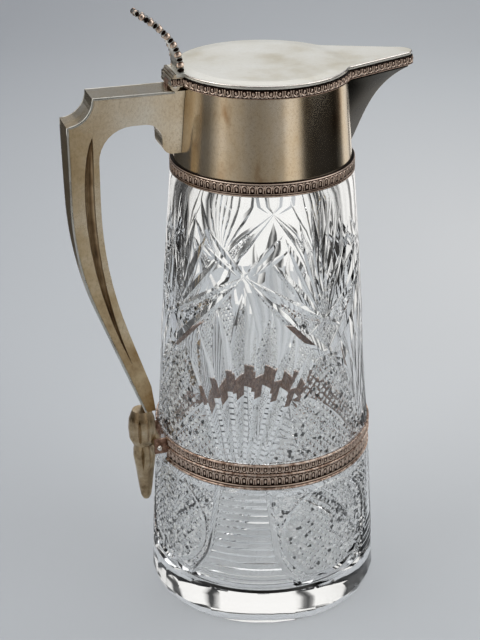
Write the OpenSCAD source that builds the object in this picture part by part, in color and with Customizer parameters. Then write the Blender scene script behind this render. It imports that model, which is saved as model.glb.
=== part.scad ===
// Claret jug: cut-glass body, metal collar with a covered spout, hinged flat lid,
// hollow square-shouldered handle and a clamped waist band.
// Millimetres, +Z up. The origin is on the jug's axis at the plane it stands on.
// The spout points along +X and the handle along -X.

/* [Glass body] */
// Height of the glass under the collar moulding
shoulder_z = 227; // [200:1:250]
// Outer radius of the glass at its widest, just above the foot
base_r = 60; // [55:0.5:70]
// Radius of the ring that the glass stands on
foot_r = 58.4; // [50:0.1:59]
// Height of the bevel between foot and wall
foot_bevel = 4.5; // [2:0.5:8]
// Outer radius of the glass at its shoulder
shoulder_r = 44.4; // [42:0.1:50]
// How far the wall bows out of a straight taper
wall_bow = 0.9; // [0:0.1:3]
// Thickness of the side wall
wall_t = 8; // [5:0.5:10]
// Thickness of the floor
floor_t = 14; // [8:1:20]
// Height of the rebated neck inside the collar
neck_h = 18; // [10:1:30]
// Outer radius of the neck
neck_r = 41.2; // [39:0.1:42]
// Radius of the bore through the neck
neck_bore_r = 35.5; // [30:0.5:38]

/* [Cutting] */
// Height of the arch points as a share of the upper panel
arch_up = 0.713; // [0.7:0.001:0.75]
// Height where two arches cross as a share of the upper panel
cross_up = 0.53; // [0.45:0.01:0.6]
// Half the width of the middle leaf of each arch
leaf_w = 6; // [5.9:0.1:6.3]
// Depth of the leaves under each arch as a share of half their width
leaf_k = 0.42; // [0.3:0.01:0.6]
// Half the width of the leaves in the fans
fan_w = 2.4; // [1.5:0.1:3]
// Half the width of the arms of each arch
arm_w = 2.5; // [1.5:0.1:3.5]
// Depth of fans and arms as a share of half their width
fan_k = 0.6; // [0.4:0.01:0.8]
// Distance between the steps of each ladder
step_pitch = 3.9; // [3.2:0.1:6]
// Number of flat facets round the foot
foot_facets = 36; // [24:4:48]

/* [Waist band] */
// Height of the lower edge of the waist band
band_z = 78; // [60:1:120]
// Height of the band
band_h = 14; // [10:0.5:20]
// Thickness of the strap
strap_t = 0.9; // [0.8:0.1:1.5]
// Radius of the plain wires on the strap
wire_r = 0.6; // [0.5:0.05:1]
// Depth of the channel that the band sits in
channel_depth = 2; // [1:0.1:2.5]
// Diameter of the clamp screw
screw_d = 2; // [1.6:0.1:2.4]
// Radius of the ball at each end of the clamp screw
ball_r = 1.5; // [1.3:0.1:2.2]
// Length of the barrel at the foot of the handle
foot_w = 17; // [12:0.5:20]

/* [Collar] */
// Height of the collar's top edge
collar_top_z = 271.9; // [260:0.1:285]
// Outer radius of the collar at its lower end
collar_low_r = 43.1; // [42.6:0.1:44]
// Outer radius of the collar at its top
collar_top_r = 40.2; // [38:0.1:42]
// Thickness of the collar's sheet
sheet_t = 0.9; // [0.7:0.1:1.5]
// Height of the collar's lower moulding
moulding_h = 6.8; // [5:0.1:9]
// How far the lower moulding stands out of the collar
moulding_out = 1.6; // [1:0.1:2.5]

/* [Spout] */
// Distance from the axis to the tip of the spout
spout_tip = 75; // [68:0.5:80]
// Radius of the rounded tip, seen from above
spout_tip_r = 5.5; // [3:0.5:7]
// Half the width of the spout where it meets the collar's rim
spout_half_w = 20.6; // [15:0.1:24]
// Height of the lowest point of the spout
spout_low_z = 234.4; // [234:0.2:240]
// Thickness of the spout's sheet
spout_t = 1.2; // [0.8:0.1:2]

/* [Lid] */
// How far the lid plate's edge stands out past the collar's rim
lid_over = 0.5; // [0:0.1:1.5]
// Thickness of the lid plate
lid_t = 1.6; // [1:0.1:3]
// Height of the lid's moulding under the plate
lid_moulding_h = 4.4; // [3:0.1:7]
// How far the lid's moulding stands out at its lower edge
lid_moulding_out = 1.4; // [0.8:0.1:2]
// Distance from the collar's rim out to the middle of the thumbpiece's foot
thumb_set = 0.6; // [-4:0.2:0.8]
// Width of the thumbpiece at its foot
thumb_w = 12; // [8:0.5:14]
// Width of the thumbpiece at its tip
thumb_tip_w = 10; // [6:0.5:12]

/* [Hinge] */
// Distance from the collar's rim out to the hinge pin
hinge_out = 4.2; // [4:0.1:5]
// Height of the hinge pin over the collar's rim
hinge_rise = 0.4; // [0.4:0.1:1]
// Radius of the hinge barrel
barrel_r = 2.1; // [1.6:0.1:2.1]
// Radius of each reed on the back of the hinge block
reed_r = 0.6; // [0.4:0.05:0.8]
// Diameter of the hinge pin
pin_d = 1.6; // [1.2:0.1:2]
// Width of the lid's hinge block
block_w = 18; // [14:0.2:20]
// Width of the fixed middle knuckle
knuckle_w = 6.4; // [4:0.1:8]

/* [Handle] */
// Width of the handle at its top
handle_w = 16.6; // [14:0.2:20]
// Width of the handle at its lower end
handle_low_w = 8.4; // [8:0.2:12]
// Distance from the axis to the outer face of the handle
handle_reach = 95.2; // [92:0.2:105]
// Drop from the collar's rim to the handle's flat top
handle_drop = 1.9; // [1.9:0.1:4]
// Depth of the handle at its upright
handle_depth = 14.4; // [13:0.1:18]
// Radius of the concave corner
corner_r = 12.3; // [8:0.1:14]
// Height where the upright starts to bend inward
bend_z = 220; // [205:1:225]
// Half the height over which the outer face bends
bend_drop = 30.7; // [24:0.1:36]
// Distance from the clamp screw out to the outer face at the handle's lower end
stem_out = 5.3; // [5.3:0.1:6]
// Thickness of the spine strap
spine_t = 1.2; // [0.8:0.1:2]
// Thickness of the hollow cheeks
cheek_t = 1.3; // [1:0.1:2]
// Depth of the groove in each cheek
groove_depth = 1.4; // [0.5:0.1:2]

/* [Hidden] */

$fn = 96;
fit = 0.05;
eps = 0.01;

// Points on a circle in the plane, from angle a0 to a1 in n steps.
function arc(cx, cy, r, a0, a1, n) =
    [for (i = [0 : n]) [cx + r * cos(a0 + (a1 - a0) * i / n), cy + r * sin(a0 + (a1 - a0) * i / n)]];

// Glass
// Outer radius of the glass wall at height z.
function glass_r(z) =
    let (t = (z - foot_bevel) / (shoulder_z - foot_bevel))
    base_r + (shoulder_r - base_r) * t + wall_bow * 4 * t * (1 - t);
glass_steps = 8;
channel_r = glass_r(band_z) - channel_depth;
inner_base_r = glass_r(floor_t) - wall_t;
inner_top_z = shoulder_z - 12;
inner_corner = 10;
neck_top_z = shoulder_z + neck_h;

module glass_outline() {
    wall = [for (i = [0 : glass_steps])
        let (z = foot_bevel + (shoulder_z - foot_bevel) * i / glass_steps) [glass_r(z), z]];
    polygon(concat(
        [[0, 0], [foot_r, 0]],
        wall,
        [[neck_r, shoulder_z], [neck_top_r, neck_top_z], [0, neck_top_z]]
    ));
}

module glass_hollow() {
    polygon(concat(
        [[0, floor_t]],
        arc(inner_base_r - inner_corner, floor_t + inner_corner, inner_corner, -90, 0, 6),
        [[glass_r(inner_top_z) - wall_t, inner_top_z], [neck_bore_r, shoulder_z - 2],
         [neck_bore_r, neck_top_z - 1], [neck_bore_r + 1, neck_top_z + 1], [0, neck_top_z + 1]]
    ));
}

// Cuts. Each cut is a V groove on the wall, given by stations [azimuth, height, half width].
// The azimuth is counted from a panel's middle, on a panel of 90 degrees.
panel_at = [-214, -118, -22, 64, 146, 242];
cut_lift = 0.4;
function upper(s) = band_z + band_h + s * (shoulder_z - band_z - band_h);
function lower(s) = foot_bevel + s * (band_z - foot_bevel);
function place(i, a) =
    panel_at[i] + a * (a < 0 ? panel_at[i] - panel_at[i - 1] : panel_at[i + 1] - panel_at[i]) / 90;
function on_wall(a, z, out) = [(glass_r(z) + out) * cos(a), (glass_r(z) + out) * sin(a), z];

// The four corners of a cut at station p, which runs in direction d, a step on the wall.
function station(p, d, k) =
    let (
        r = glass_r(p[1]) * PI / 180,
        long = norm([d[0] * r, d[1]]),
        w = p[2] + cut_lift / k,
        da = -d[1] / long * w / r,
        dz = d[0] * r / long * w
    )
    [
        on_wall(p[0] + da, p[1] + dz, cut_lift), on_wall(p[0], p[1], cut_lift + w / 2),
        on_wall(p[0] - da, p[1] - dz, cut_lift), on_wall(p[0], p[1], -k * p[2])
    ];

// A pointed V cut on panel i along a path of stations. k is its depth over half its width.
module groove(i, path, k) {
    n = len(path) - 1;
    at = [for (p = path) [place(i, p[0]), p[1], p[2]]];
    first = at[0] + (at[0] - at[1]) * cut_lift / k / at[1][2];
    last = at[n] + (at[n] - at[n - 1]) * cut_lift / k / at[n - 1][2];
    rings = [for (j = [1 : n - 1]) station(at[j], at[j + 1] - at[j - 1], k)];
    end = 4 * (n - 1) + 1;
    polyhedron(
        points = concat([on_wall(first[0], first[1], cut_lift)], [for (ring = rings) each ring],
            [on_wall(last[0], last[1], cut_lift)]),
        faces = concat(
            [for (j = [0 : 3]) [0, 1 + j, 1 + (j + 1) % 4]],
            [for (m = [1 : n - 2], j = [0 : 3]) if (n > 2)
                let (p = 4 * m - 3 + j, q = 4 * m - 3 + (j + 1) % 4) each [[p, p + 4, q + 4], [p, q + 4, q]]],
            [for (j = [0 : 3]) [end, end - 4 + (j + 1) % 4, end - 4 + j]]
        )
    );
}

// Tall leaves under the arch: [azimuth at the foot, azimuth at the tip, height of the tip, width].
tall_leaves = [[0, 0, 0.68, 1], [2.9, 14.9, 0.588, 0.86], [5.8, 26.6, 0.504, 0.8], [8.7, 35.9, 0.437, 0.72]];
// Leaves of the fan over each crossing: [azimuth from the crossing, height of the tip].
fan_leaves = [[0, 0.975], [7.5, 0.95], [15, 0.905], [23, 0.85], [32, 0.78]];
// The rail at the side of each ladder: [azimuth, height].
rail = [[12.4, 1.02], [12.7, 0.95], [14.4, 0.73], [18.7, 0.415], [27, 0.24]];
rail_w = 1.3;
step_w = 1.3;
step_k = 0.55;

// The arms of each arch: [azimuth at the tip, drop of the tip as a share of the panel, width].
arms = [[57, 0.24, 0.92], [60, 0.43, 1.08]];

module arch(i) {
    for (m = [-1, 1], t = [m > 0 ? 0 : 1 : 3]) let (
        leaf = tall_leaves[t],
        w = leaf_w * leaf[3],
        low = upper(-0.044),
        high = upper(leaf[2]),
        at = function (s) m * (leaf[0] + (leaf[1] - leaf[0]) * s)
    ) groove(i, [
        [at(0), low, 0], [at(0.08), low + 0.08 * (high - low), 0.34 * w],
        [at(0.7), low + 0.7 * (high - low), w], [at(1), high, 0]
    ], leaf_k);
    for (m = [-1, 1], arm = arms) let (
        high = upper(arch_up),
        drop = upper(arm[1]) - upper(0),
        w = arm_w * arm[2] * (m > 0 ? 1 : 0.94)
    ) groove(i, [for (s = [[0, 0], [0.2, 0.6], [0.45, 0.9], [0.7, 1], [1, 0]])
        [m * arm[0] * s[0], high - drop * s[0], w * s[1]]], fan_k);
}

module fan(i) {
    for (leaf = fan_leaves, m = [-1, 1]) if (m > 0 || leaf[0] > 0) let (
        low = upper(cross_up + 0.05),
        high = upper(leaf[1]),
        at = function (s) 45 + m * leaf[0] * (0.12 + 0.88 * s)
    ) groove(i, [[at(0), low, 0], [at(0.5), (low + high) / 2, fan_w], [at(1), high, 0]], fan_k);
}

module ladder(i) {
    for (m = [-1, 1]) groove(i, concat(
        [[m * rail[0][0], lower(rail[0][1]), 0]],
        [for (j = [1 : 3]) [m * rail[j][0], lower(rail[j][1]), rail_w]],
        [[m * rail[4][0], lower(rail[4][1]), 0]]
    ), fan_k);
}

// Level V cuts round the wall, kept to the ladders' outlines.
module ladder_steps() {
    intersection() {
        for (z = [lower(0.29) : step_pitch : lower(0.97)]) v_ring(z);
        for (i = [1 : 4]) let (
            edge = function (m) [for (p = rail) let (z = lower(p[1]))
                [glass_r(z) * sin(place(i, m * p[0]) - panel_at[i]), z]]
        ) rotate([0, 0, panel_at[i]]) rotate([90, 0, 90]) linear_extrude(base_r + 2)
            polygon(concat(edge(1), reversed(edge(-1))));
    }
}

// Upright flats round the foot, and a V ring over them.
facet_d = 0.15;
module foot_cuts() {
    top = lower(0.2);
    r = glass_r(0) - facet_d;
    difference() {
        translate([0, 0, -1]) cylinder(h = top + 1, r = max(base_r, foot_r) + 2);
        translate([0, 0, -1]) cylinder(h = 1 + eps, r = base_r);
        linear_extrude(top + eps, scale = (glass_r(top) - facet_d) / r)
            polygon(arc(0, 0, r, 0, 360 - 360 / foot_facets, foot_facets - 1));
    }
    v_ring(lower(0.222));
}

// A level V cut round the wall at height z.
module v_ring(z) {
    rotate_extrude() polygon([
        [glass_r(z) - step_k * step_w, z], [glass_r(z) + cut_lift, z - step_w - cut_lift / step_k],
        [glass_r(z) + cut_lift, z + step_w + cut_lift / step_k]
    ]);
}

module glass_body() color([0.86, 0.91, 0.93, 0.5]) {
    difference() {
        rotate_extrude() glass_outline();
        rotate_extrude() glass_hollow();
        translate([0, 0, band_z - fit]) difference() {
            cylinder(h = band_h + 2 * fit, r = base_r + channel_depth);
            translate([0, 0, -1]) cylinder(h = band_h + 2, r = channel_r);
        }
        for (i = [1 : 4]) {
            arch(i);
            fan(i);
            ladder(i);
        }
        ladder_steps();
        foot_cuts();
    }
}

// Place of the clamp that holds the foot of the handle to the band
clamp_z = band_z + 0.6 * band_h;
strap_r = channel_r + fit;
band_out_r = strap_r + strap_t + 2 * wire_r;
barrel_foot_r = 2.6;
clamp_x = band_out_r + barrel_foot_r - 0.4;

// Collar
moulding_top_z = shoulder_z + moulding_h;
cement_t = collar_low_r - sheet_t - neck_r;
bezel_r = collar_top_r - sheet_t;

// Outer radius of the collar at height z, above its moulding.
function collar_r(z) = collar_low_r
    + (collar_top_r - collar_low_r) * max(0, z - moulding_top_z) / (collar_top_z - moulding_top_z);

// The neck narrows where the collar leaves it no room.
cement_min = 0.1;
neck_top_r = min(neck_r, collar_r(neck_top_z) - sheet_t - cement_min);

module collar_shape(grow) {
    translate([0, 0, shoulder_z + fit]) cylinder(h = moulding_h - fit + eps, r = collar_low_r + grow);
    translate([0, 0, moulding_top_z])
        cylinder(h = collar_top_z - moulding_top_z, r1 = collar_low_r + grow, r2 = collar_top_r + grow);
}

module neck_cement() color([0.87, 0.85, 0.8]) {
    translate([0, 0, shoulder_z + fit]) difference() {
        cylinder(h = neck_h - 2, r = neck_r + cement_t);
        translate([0, 0, -fit]) cylinder(h = neck_h, r1 = neck_r, r2 = neck_top_r);
        difference() {
            translate([0, 0, moulding_h - fit]) cylinder(h = neck_h, r = neck_r + 3);
            translate([0, 0, moulding_h - fit])
                cylinder(h = collar_top_z - moulding_top_z,
                    r1 = collar_low_r - sheet_t, r2 = collar_top_r - sheet_t);
        }
    }
}

module collar() color([0.62, 0.55, 0.45]) {
    difference() {
        collar_shape(0);
        collar_hollow();
        spout_channel();
    }
}

module collar_hollow() {
    translate([0, 0, shoulder_z - 1]) cylinder(h = moulding_h + 1 + eps, r = collar_low_r - sheet_t);
    translate([0, 0, moulding_top_z])
        cylinder(h = collar_top_z - moulding_top_z + eps, r1 = collar_low_r - sheet_t, r2 = collar_top_r - sheet_t);
}

module collar_moulding() color([0.35, 0.27, 0.22]) {
    r = collar_low_r;
    out = moulding_out;
    translate([0, 0, shoulder_z + fit]) rotate_extrude() polygon([
        [r, 0], [r + out - 0.3, 0], [r + out, 0.3], [r + out, 0.8], [r + out - 0.5, 1.1],
        [r + out - 0.6, 1.5], [r + out - 0.1, 1.8], [r + out - 0.1, moulding_h - 1.6],
        [r + out - 0.6, moulding_h - 1.3], [r + out - 0.4, moulding_h - 0.4],
        [r + 0.8, moulding_h - fit], [r, moulding_h - fit]
    ]);
}

bezel_h = 4;
bezel_t = 1.2;
module collar_bezel() color([0.7, 0.66, 0.58]) {
    difference() {
        translate([0, 0, collar_top_z - bezel_h]) difference() {
            intersection() {
                cylinder(h = bezel_h, r = bezel_r + 1);
                translate([0, 0, bezel_h - collar_top_z]) collar_hollow();
            }
            translate([0, 0, -1]) cylinder(h = bezel_h + 2, r = bezel_r - bezel_t);
        }
        spout_channel();
    }
}

// Spout
// The keel is a curve from the collar out to the tip. The sections are level cuts along it,
// each a V with a rounded nose.
spout_top_z = collar_top_z;
spout_levels = 14;
spout_nose_steps = 6;
keel_end = [spout_tip - 0.6, spout_top_z - 1.6];
keel = [
    [collar_r(spout_low_z) + 2, spout_low_z], [keel_end[0] - 22.4, spout_low_z + 13],
    [keel_end[0] - 19.4, keel_end[1] - 7.5], keel_end
];

// A cubic curve through four control points, in n steps.
function curve(p, n) = [for (i = [0 : n]) let (t = i / n, u = 1 - t)
    u * u * u * p[0] + 3 * u * u * t * p[1] + 3 * u * t * t * p[2] + t * t * t * p[3]];

// Half the width of the spout at the collar, and the radius of its nose, at share h of its height.
function spout_w(h) = 2.6 + (spout_half_w - 3.8) * pow(h, 0.8);
function nose_r(h) = 1.6 + (spout_tip_r - 2.9) * pow(h, 5);

// One side of a level cut: from the root at the collar to the middle of the nose.
function spout_side(x, h, inset, root) =
    let (
        rn = nose_r(h) - inset,
        cx = x - nose_r(h),
        w = spout_w(h) - inset * 1.1,
        wall_x = sqrt(pow(collar_r(spout_low_z + h * (spout_top_z - spout_low_z)), 2) - w * w),
        away = sqrt(pow(cx - wall_x, 2) + w * w),
        turn = min(45, atan2(w, cx - wall_x) - asin(rn / away)),
        side = 90 - turn
    )
    concat(
        [[root, w + (wall_x - root) * tan(turn)]],
        [for (i = [0 : spout_nose_steps])
            let (a = side * (1 - i / spout_nose_steps)) [cx + rn * cos(a), rn * sin(a)]]
    );

function spout_ring(x, z, inset, root, rise) =
    let (
        h = (z - spout_low_z) / (spout_top_z - spout_low_z),
        half = spout_side(x, h, inset, root),
        n = len(half)
    )
    concat([for (p = half) [p[0], p[1], z + rise]],
        [for (i = [n - 2 : -1 : 0]) [half[i][0], -half[i][1], z + rise]]);

// A solid skinned over the level cuts, smaller by inset all round and raised by rise.
module spout_solid(inset, root, rise) {
    rings = concat(
        [for (p = curve(keel, spout_levels)) spout_ring(p[0], p[1], inset, root, rise)],
        [spout_ring(keel_end[0], spout_top_z, inset, root, rise)]
    );
    n = len(rings[0]);
    last = len(rings) - 1;
    polyhedron(
        points = [for (ring = rings) each ring],
        faces = concat(
            [[for (i = [n - 1 : -1 : 0]) i]],
            [[for (i = [0 : n - 1]) last * n + i]],
            [for (k = [0 : last - 1], i = [0 : n - 1]) let (j = (i + 1) % n)
                [k * n + i, (k + 1) * n + j, (k + 1) * n + i]],
            [for (k = [0 : last - 1], i = [0 : n - 1]) let (j = (i + 1) % n)
                [k * n + i, k * n + j, (k + 1) * n + j]]
        )
    );
}

module spout_channel() {
    spout_solid(spout_t, neck_bore_r - 6, spout_t);
}

module spout() color([0.42, 0.37, 0.3]) {
    difference() {
        spout_solid(0, collar_top_r - 8, 0);
        spout_channel();
        collar_shape(fit);
    }
}

// Lid
lid_r = collar_top_r + lid_over;
lid_low_z = collar_top_z + fit;
lid_plate_z = lid_low_z + lid_moulding_h;
lid_top_z = lid_plate_z + lid_t;
spout_nose_x = spout_tip - spout_tip_r;
join_x = sqrt(lid_r * lid_r - spout_half_w * spout_half_w);
side_len = sqrt(pow(spout_nose_x - join_x, 2) + spout_half_w * spout_half_w);
side_turn = atan2(spout_half_w, spout_nose_x - join_x) - asin(spout_tip_r / side_len);
side_back = 6;
tuck = 0.03;

// The lid seen from above, drawn smaller by inset.
module lid_outline(inset) {
    nose = spout_tip_r - inset;
    nose_x = spout_nose_x + (nose - tuck) * sin(side_turn);
    nose_y = (nose - tuck) * cos(side_turn);
    back_x = join_x - side_back;
    back_y = spout_half_w + side_back * tan(side_turn) - (inset + tuck) / cos(side_turn);
    circle(r = lid_r - inset);
    translate([spout_nose_x, 0]) circle(r = nose, $fn = 48);
    polygon([[0, 0], [back_x, -back_y], [nose_x, -nose_y], [nose_x, nose_y], [back_x, back_y]]);
}

block_in = 1.8;
block_front_x = collar_top_r - block_in;

// Where the lid plate runs out over the hinge block, up to the block's raised back.
module block_plan(inset) {
    translate([-hinge_x + block_back + fit, -block_w / 2 + inset])
        square([hinge_x - block_back - fit - block_front_x, block_w - 2 * inset]);
}

module lid_plate() color([0.8, 0.79, 0.75]) {
    translate([0, 0, lid_plate_z]) linear_extrude(lid_t) {
        lid_outline(0);
        block_plan(0.3);
    }
    translate([0, 0, lid_top_z - eps]) cylinder(h = 0.4, r1 = lid_r - 1.2, r2 = lid_r - 6);
}

// The lid's moulding in level steps: height of each step's foot, and how far it stands out.
moulding_top = lid_moulding_h - fit;
moulding_inset = 2.2;
moulding_levels = [
    [0, lid_moulding_out - 0.3], [0.3, lid_moulding_out], [0.9, lid_moulding_out - 0.5], [1.2, 0.6],
    [1.6, 0.85], [moulding_top - 1.5, 0.6], [moulding_top - 1.2, 0.1], [moulding_top - 0.5, 0.3],
    [moulding_top, 0]
];

module lid_moulding() color([0.35, 0.27, 0.22]) {
    translate([0, 0, lid_low_z]) difference() {
        for (i = [0 : len(moulding_levels) - 2])
            translate([0, 0, moulding_levels[i][0]])
                linear_extrude(moulding_levels[i + 1][0] - moulding_levels[i][0])
                    lid_outline(-moulding_levels[i][1]);
        translate([0, 0, -1]) linear_extrude(lid_moulding_h + 1) lid_outline(moulding_inset);
        block_room();
    }
}

// Room for the hinge block, cut out of the lid's moulding.
module block_room() {
    translate([-hinge_x - 10, -block_w / 2 - fit, -1])
        cube([10 + hinge_x - block_front_x + fit, block_w + 2 * fit, lid_moulding_h + 1 + eps]);
}

flange_drop = 3.2;
flange_t = 1;
flange_gap = 0.5;
flange_r = bezel_r - bezel_t - flange_gap;
flange_opening = 34;
module lid_flange() color([0.75, 0.72, 0.66]) {
    translate([0, 0, lid_plate_z - lid_moulding_h - flange_drop]) rotate([0, 0, flange_opening])
        rotate_extrude(angle = 360 - 2 * flange_opening)
            translate([flange_r - flange_t, 0]) square([flange_t, flange_drop + lid_moulding_h - fit]);
}

// Hinge
hinge_x = collar_top_r + hinge_out;
hinge_z = collar_top_z + hinge_rise;
handle_top_z = collar_top_z - handle_drop;
bore_d = pin_d + 2 * fit;
slot_gap = 0.15;
block_back = 0.7;
block_lift = 0.1;

module along_pin(w) {
    translate([0, w / 2, 0]) rotate([90, 0, 0]) linear_extrude(w) children();
}

// Section of the lid's block seen along the pin, with the pin at the origin.
module block_section() {
    low = lid_low_z + block_lift - hinge_z;
    high = lid_plate_z - fit - hinge_z;
    top = lid_top_z - hinge_z;
    circle(r = barrel_r, $fn = 48);
    polygon([
        [0, low], [hinge_x - block_front_x, low], [hinge_x - block_front_x, high],
        [block_back, high], [block_back, top], [0.1, top], [-1.2, high - 1.2], [-barrel_r, 0]
    ]);
    for (t = [0.1 : 0.4 : 0.9])
        translate([-1.4 + 1.5 * t, high - 1.5 + (top - high + 1.1) * t]) circle(r = reed_r, $fn = 24);
}

module lid_hinge_block() color([0.4, 0.32, 0.26]) {
    translate([-hinge_x, 0, hinge_z]) difference() {
        along_pin(block_w) difference() {
            block_section();
            circle(d = pin_d, $fn = 32);
        }
        along_pin(knuckle_w + 2 * slot_gap) circle(r = barrel_r + 0.25, $fn = 48);
    }
}

knuckle_foot = [2.5, 3.4, 1.1];
module fixed_knuckle() color([0.5, 0.42, 0.34]) {
    drop = hinge_z - handle_top_z - fit;
    translate([-hinge_x, 0, hinge_z]) along_pin(knuckle_w) difference() {
        union() {
            circle(r = barrel_r, $fn = 48);
            translate([-barrel_r, -drop]) square([2 * barrel_r, drop]);
            translate([-knuckle_foot[0], -drop])
                square([knuckle_foot[0] + knuckle_foot[1], knuckle_foot[2]]);
        }
        circle(d = bore_d, $fn = 32);
    }
}

module hinge_pin() color([0.72, 0.68, 0.6]) {
    translate([-hinge_x, 0, hinge_z]) along_pin(block_w) circle(d = pin_d, $fn = 32);
}

// Thumbpiece
// A bent strap. Points are measured from the middle of its foot, x toward the spout.
thumb_h = 29;
thumb_out = 20.2;
thumb_front = [[1.5, 0], [1.2, 0.43 * thumb_h], [-0.21 * thumb_out, 0.68 * thumb_h],
    [-0.92 * thumb_out, 0.98 * thumb_h]];
thumb_back = [[-0.98 * thumb_out, 0.92 * thumb_h], [-0.29 * thumb_out, 0.6 * thumb_h],
    [-1.6, 0.4 * thumb_h], [-1.5, 0]];
thumb_steps = 10;
thumb_x = collar_top_r + thumb_set;
thumb_seat = fit;

module thumb_profile() {
    polygon(concat(curve(thumb_front, thumb_steps),
        [[-0.965 * thumb_out, 0.983 * thumb_h], [-thumb_out, 0.948 * thumb_h]],
        curve(thumb_back, thumb_steps)));
}

module thumbpiece() color([0.66, 0.62, 0.55]) {
    r = thumb_tip_w / 2;
    translate([-thumb_x, 0, lid_top_z + thumb_seat]) intersection() {
        along_pin(thumb_w) thumb_profile();
        translate([-thumb_h, 0, 0]) rotate([90, 0, 90]) linear_extrude(2 * thumb_h) polygon(concat(
            [[-thumb_w / 2, -1], [thumb_w / 2, -1], [thumb_w / 2, 4]],
            arc(0, thumb_h - r, r, 0, 180, 8),
            [[-thumb_w / 2, 4]]
        ));
    }
}

// Handle
// The outline of the outer strap, moved inward by inset, from the top root to the lower end.
stem_h = 17.6;
handle_low_z = clamp_z + stem_h;
arm_h = 14.6;
seat = 0.1;
function outer_line(inset) =
    let (
        x0 = -handle_reach,
        rn = corner_r + inset,
        cut = asin(inset / rn),
        lean = atan((handle_reach - clamp_x - stem_out) / (bend_z - bend_drop - handle_low_z)),
        bend_r = bend_drop / tan(lean / 2),
        rb = bend_r - inset,
        end_a = 180 + lean,
        end = [x0 + bend_r + rb * cos(end_a), bend_z + rb * sin(end_a)],
        run = (end[1] - handle_low_z) * tan(lean)
    )
    concat(
        [[-neck_bore_r, handle_top_z - inset]],
        arc(x0, handle_top_z, rn, -cut, cut - 90, 10),
        arc(x0 + bend_r, bend_z, rb, 180, end_a, 8),
        [[end[0] + run, handle_low_z]]
    );

// The inner edge, moved outward by inset, from the lower end up to the lobe at the collar.
inner_bend_drop = 36.4;
inner_out = 1.5;
finger_r = 16;
root_r = 7.7;
root_x = collar_low_r + root_r;
lobe_r = 4.6;
lobe_z = handle_top_z - 29.8;
straighten = 14;
function inner_line(inset) =
    let (
        x0 = -(handle_reach - handle_depth) - inset,
        lean = atan((handle_reach - handle_depth - clamp_x - inner_out)
            / (bend_z - inner_bend_drop - handle_low_z - straighten)),
        rb = inner_bend_drop / tan(lean / 2) + inset,
        end_a = 180 + lean,
        end = [x0 + rb + rb * cos(end_a), bend_z + rb * sin(end_a)],
        run = (end[1] - handle_low_z - straighten) * tan(lean),
        arm_z = handle_top_z - arm_h + inset
    )
    concat(
        [[end[0] + run + 1.8, handle_low_z], [end[0] + run, handle_low_z + straighten]],
        arc(x0 + rb, bend_z, rb, end_a, 180, 8),
        arc(x0 + finger_r, arm_z - finger_r, finger_r, 180, 90, 8),
        arc(-root_x - root_r + inset, arm_z - root_r, root_r, 90, 0, 6),
        arc(lobe_r + inset - root_x, lobe_z + lobe_r + inset, lobe_r, 180, 270, 5),
        [[-neck_bore_r, lobe_z + inset]]
    );

function reversed(list) = [for (i = [len(list) - 1 : -1 : 0]) list[i]];

module handle_outline(outer_inset, inner_inset) {
    polygon(concat(outer_line(outer_inset), inner_line(inner_inset)));
}

// The handle seen from its outer side: it narrows from the shoulder to a slim stem.
narrow_low = 172;
narrow_high = 254;
narrow_steps = 12;
function half_w(z) =
    let (t = max(0, min(1, (z - narrow_low) / (narrow_high - narrow_low))), s = t * t * (3 - 2 * t))
    (handle_low_w + (handle_w - handle_low_w) * s) / 2;

module width_outline(inset) {
    side = concat(
        [[half_w(0) - inset, handle_low_z - 1]],
        [for (i = [0 : narrow_steps]) let (z = narrow_low + (narrow_high - narrow_low) * i / narrow_steps)
            [half_w(z) - inset, z]],
        [[handle_w / 2 - inset, handle_top_z + 1]]
    );
    rotate([90, 0, 90]) translate([0, 0, -handle_reach - 1]) linear_extrude(handle_reach)
        polygon(concat([for (p = side) [-p[0], p[1]]], reversed(side)));
}

module across(w) {
    translate([0, w / 2, 0]) rotate([90, 0, 0]) linear_extrude(w) children();
}

module handle_spine() color([0.66, 0.63, 0.57]) {
    difference() {
        intersection() {
            across(handle_w + 1) polygon(concat(outer_line(0), reversed(outer_line(spine_t))));
            width_outline(0);
        }
        collar_shape(seat);
    }
}

// The edges of the long groove, pointed at both ends.
groove_point = [11.7, 32];
groove_end = [26.7, -89];
groove_outer = [groove_point, [4.2, 20], [3.2, -35], groove_end];
groove_inner = [groove_end, [6.7, -30], [12.7, 15], groove_point];
module groove_outline(grow) {
    translate([-handle_reach, bend_z]) polygon(concat(
        [for (p = curve(groove_outer, 12)) p - [grow, 0]],
        [for (p = curve(groove_inner, 12)) p + [grow, 0]]
    ));
}

flange_lip = 0.5;
lip_w = 3.4;
tongue_t = 4.4;
tongue_rise = 5;
module cheek() {
    difference() {
        union() {
            intersection() {
                across(handle_w + 1) handle_outline(spine_t + fit, 0);
                width_outline(flange_lip);
            }
            intersection() {
                across(handle_w + 1) polygon(concat(outer_line(spine_t + fit), reversed(outer_line(lip_w))));
                width_outline(0);
            }
        }
        translate([-handle_reach - 1, -handle_w, 0]) cube([handle_reach, handle_w + fit / 2, handle_top_z + 1]);
        intersection() {
            across(handle_w + 1) handle_outline(spine_t + cheek_t, cheek_t);
            union() {
                width_outline(flange_lip + groove_depth + cheek_t);
                difference() {
                    width_outline(flange_lip + cheek_t);
                    across(handle_w + 1) groove_outline(cheek_t);
                }
            }
            translate([-handle_reach, -handle_w, handle_low_z + straighten])
                cube([handle_reach - root_x, 2 * handle_w, handle_top_z]);
        }
        difference() {
            across(handle_w + 2) groove_outline(0);
            width_outline(flange_lip + groove_depth);
        }
        tongue(fit);
        collar_shape(seat);
    }
}

module handle_left_cheek() color([0.6, 0.5, 0.36]) cheek();
module handle_right_cheek() color([0.6, 0.5, 0.36]) mirror([0, 1, 0]) cheek();

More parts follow.
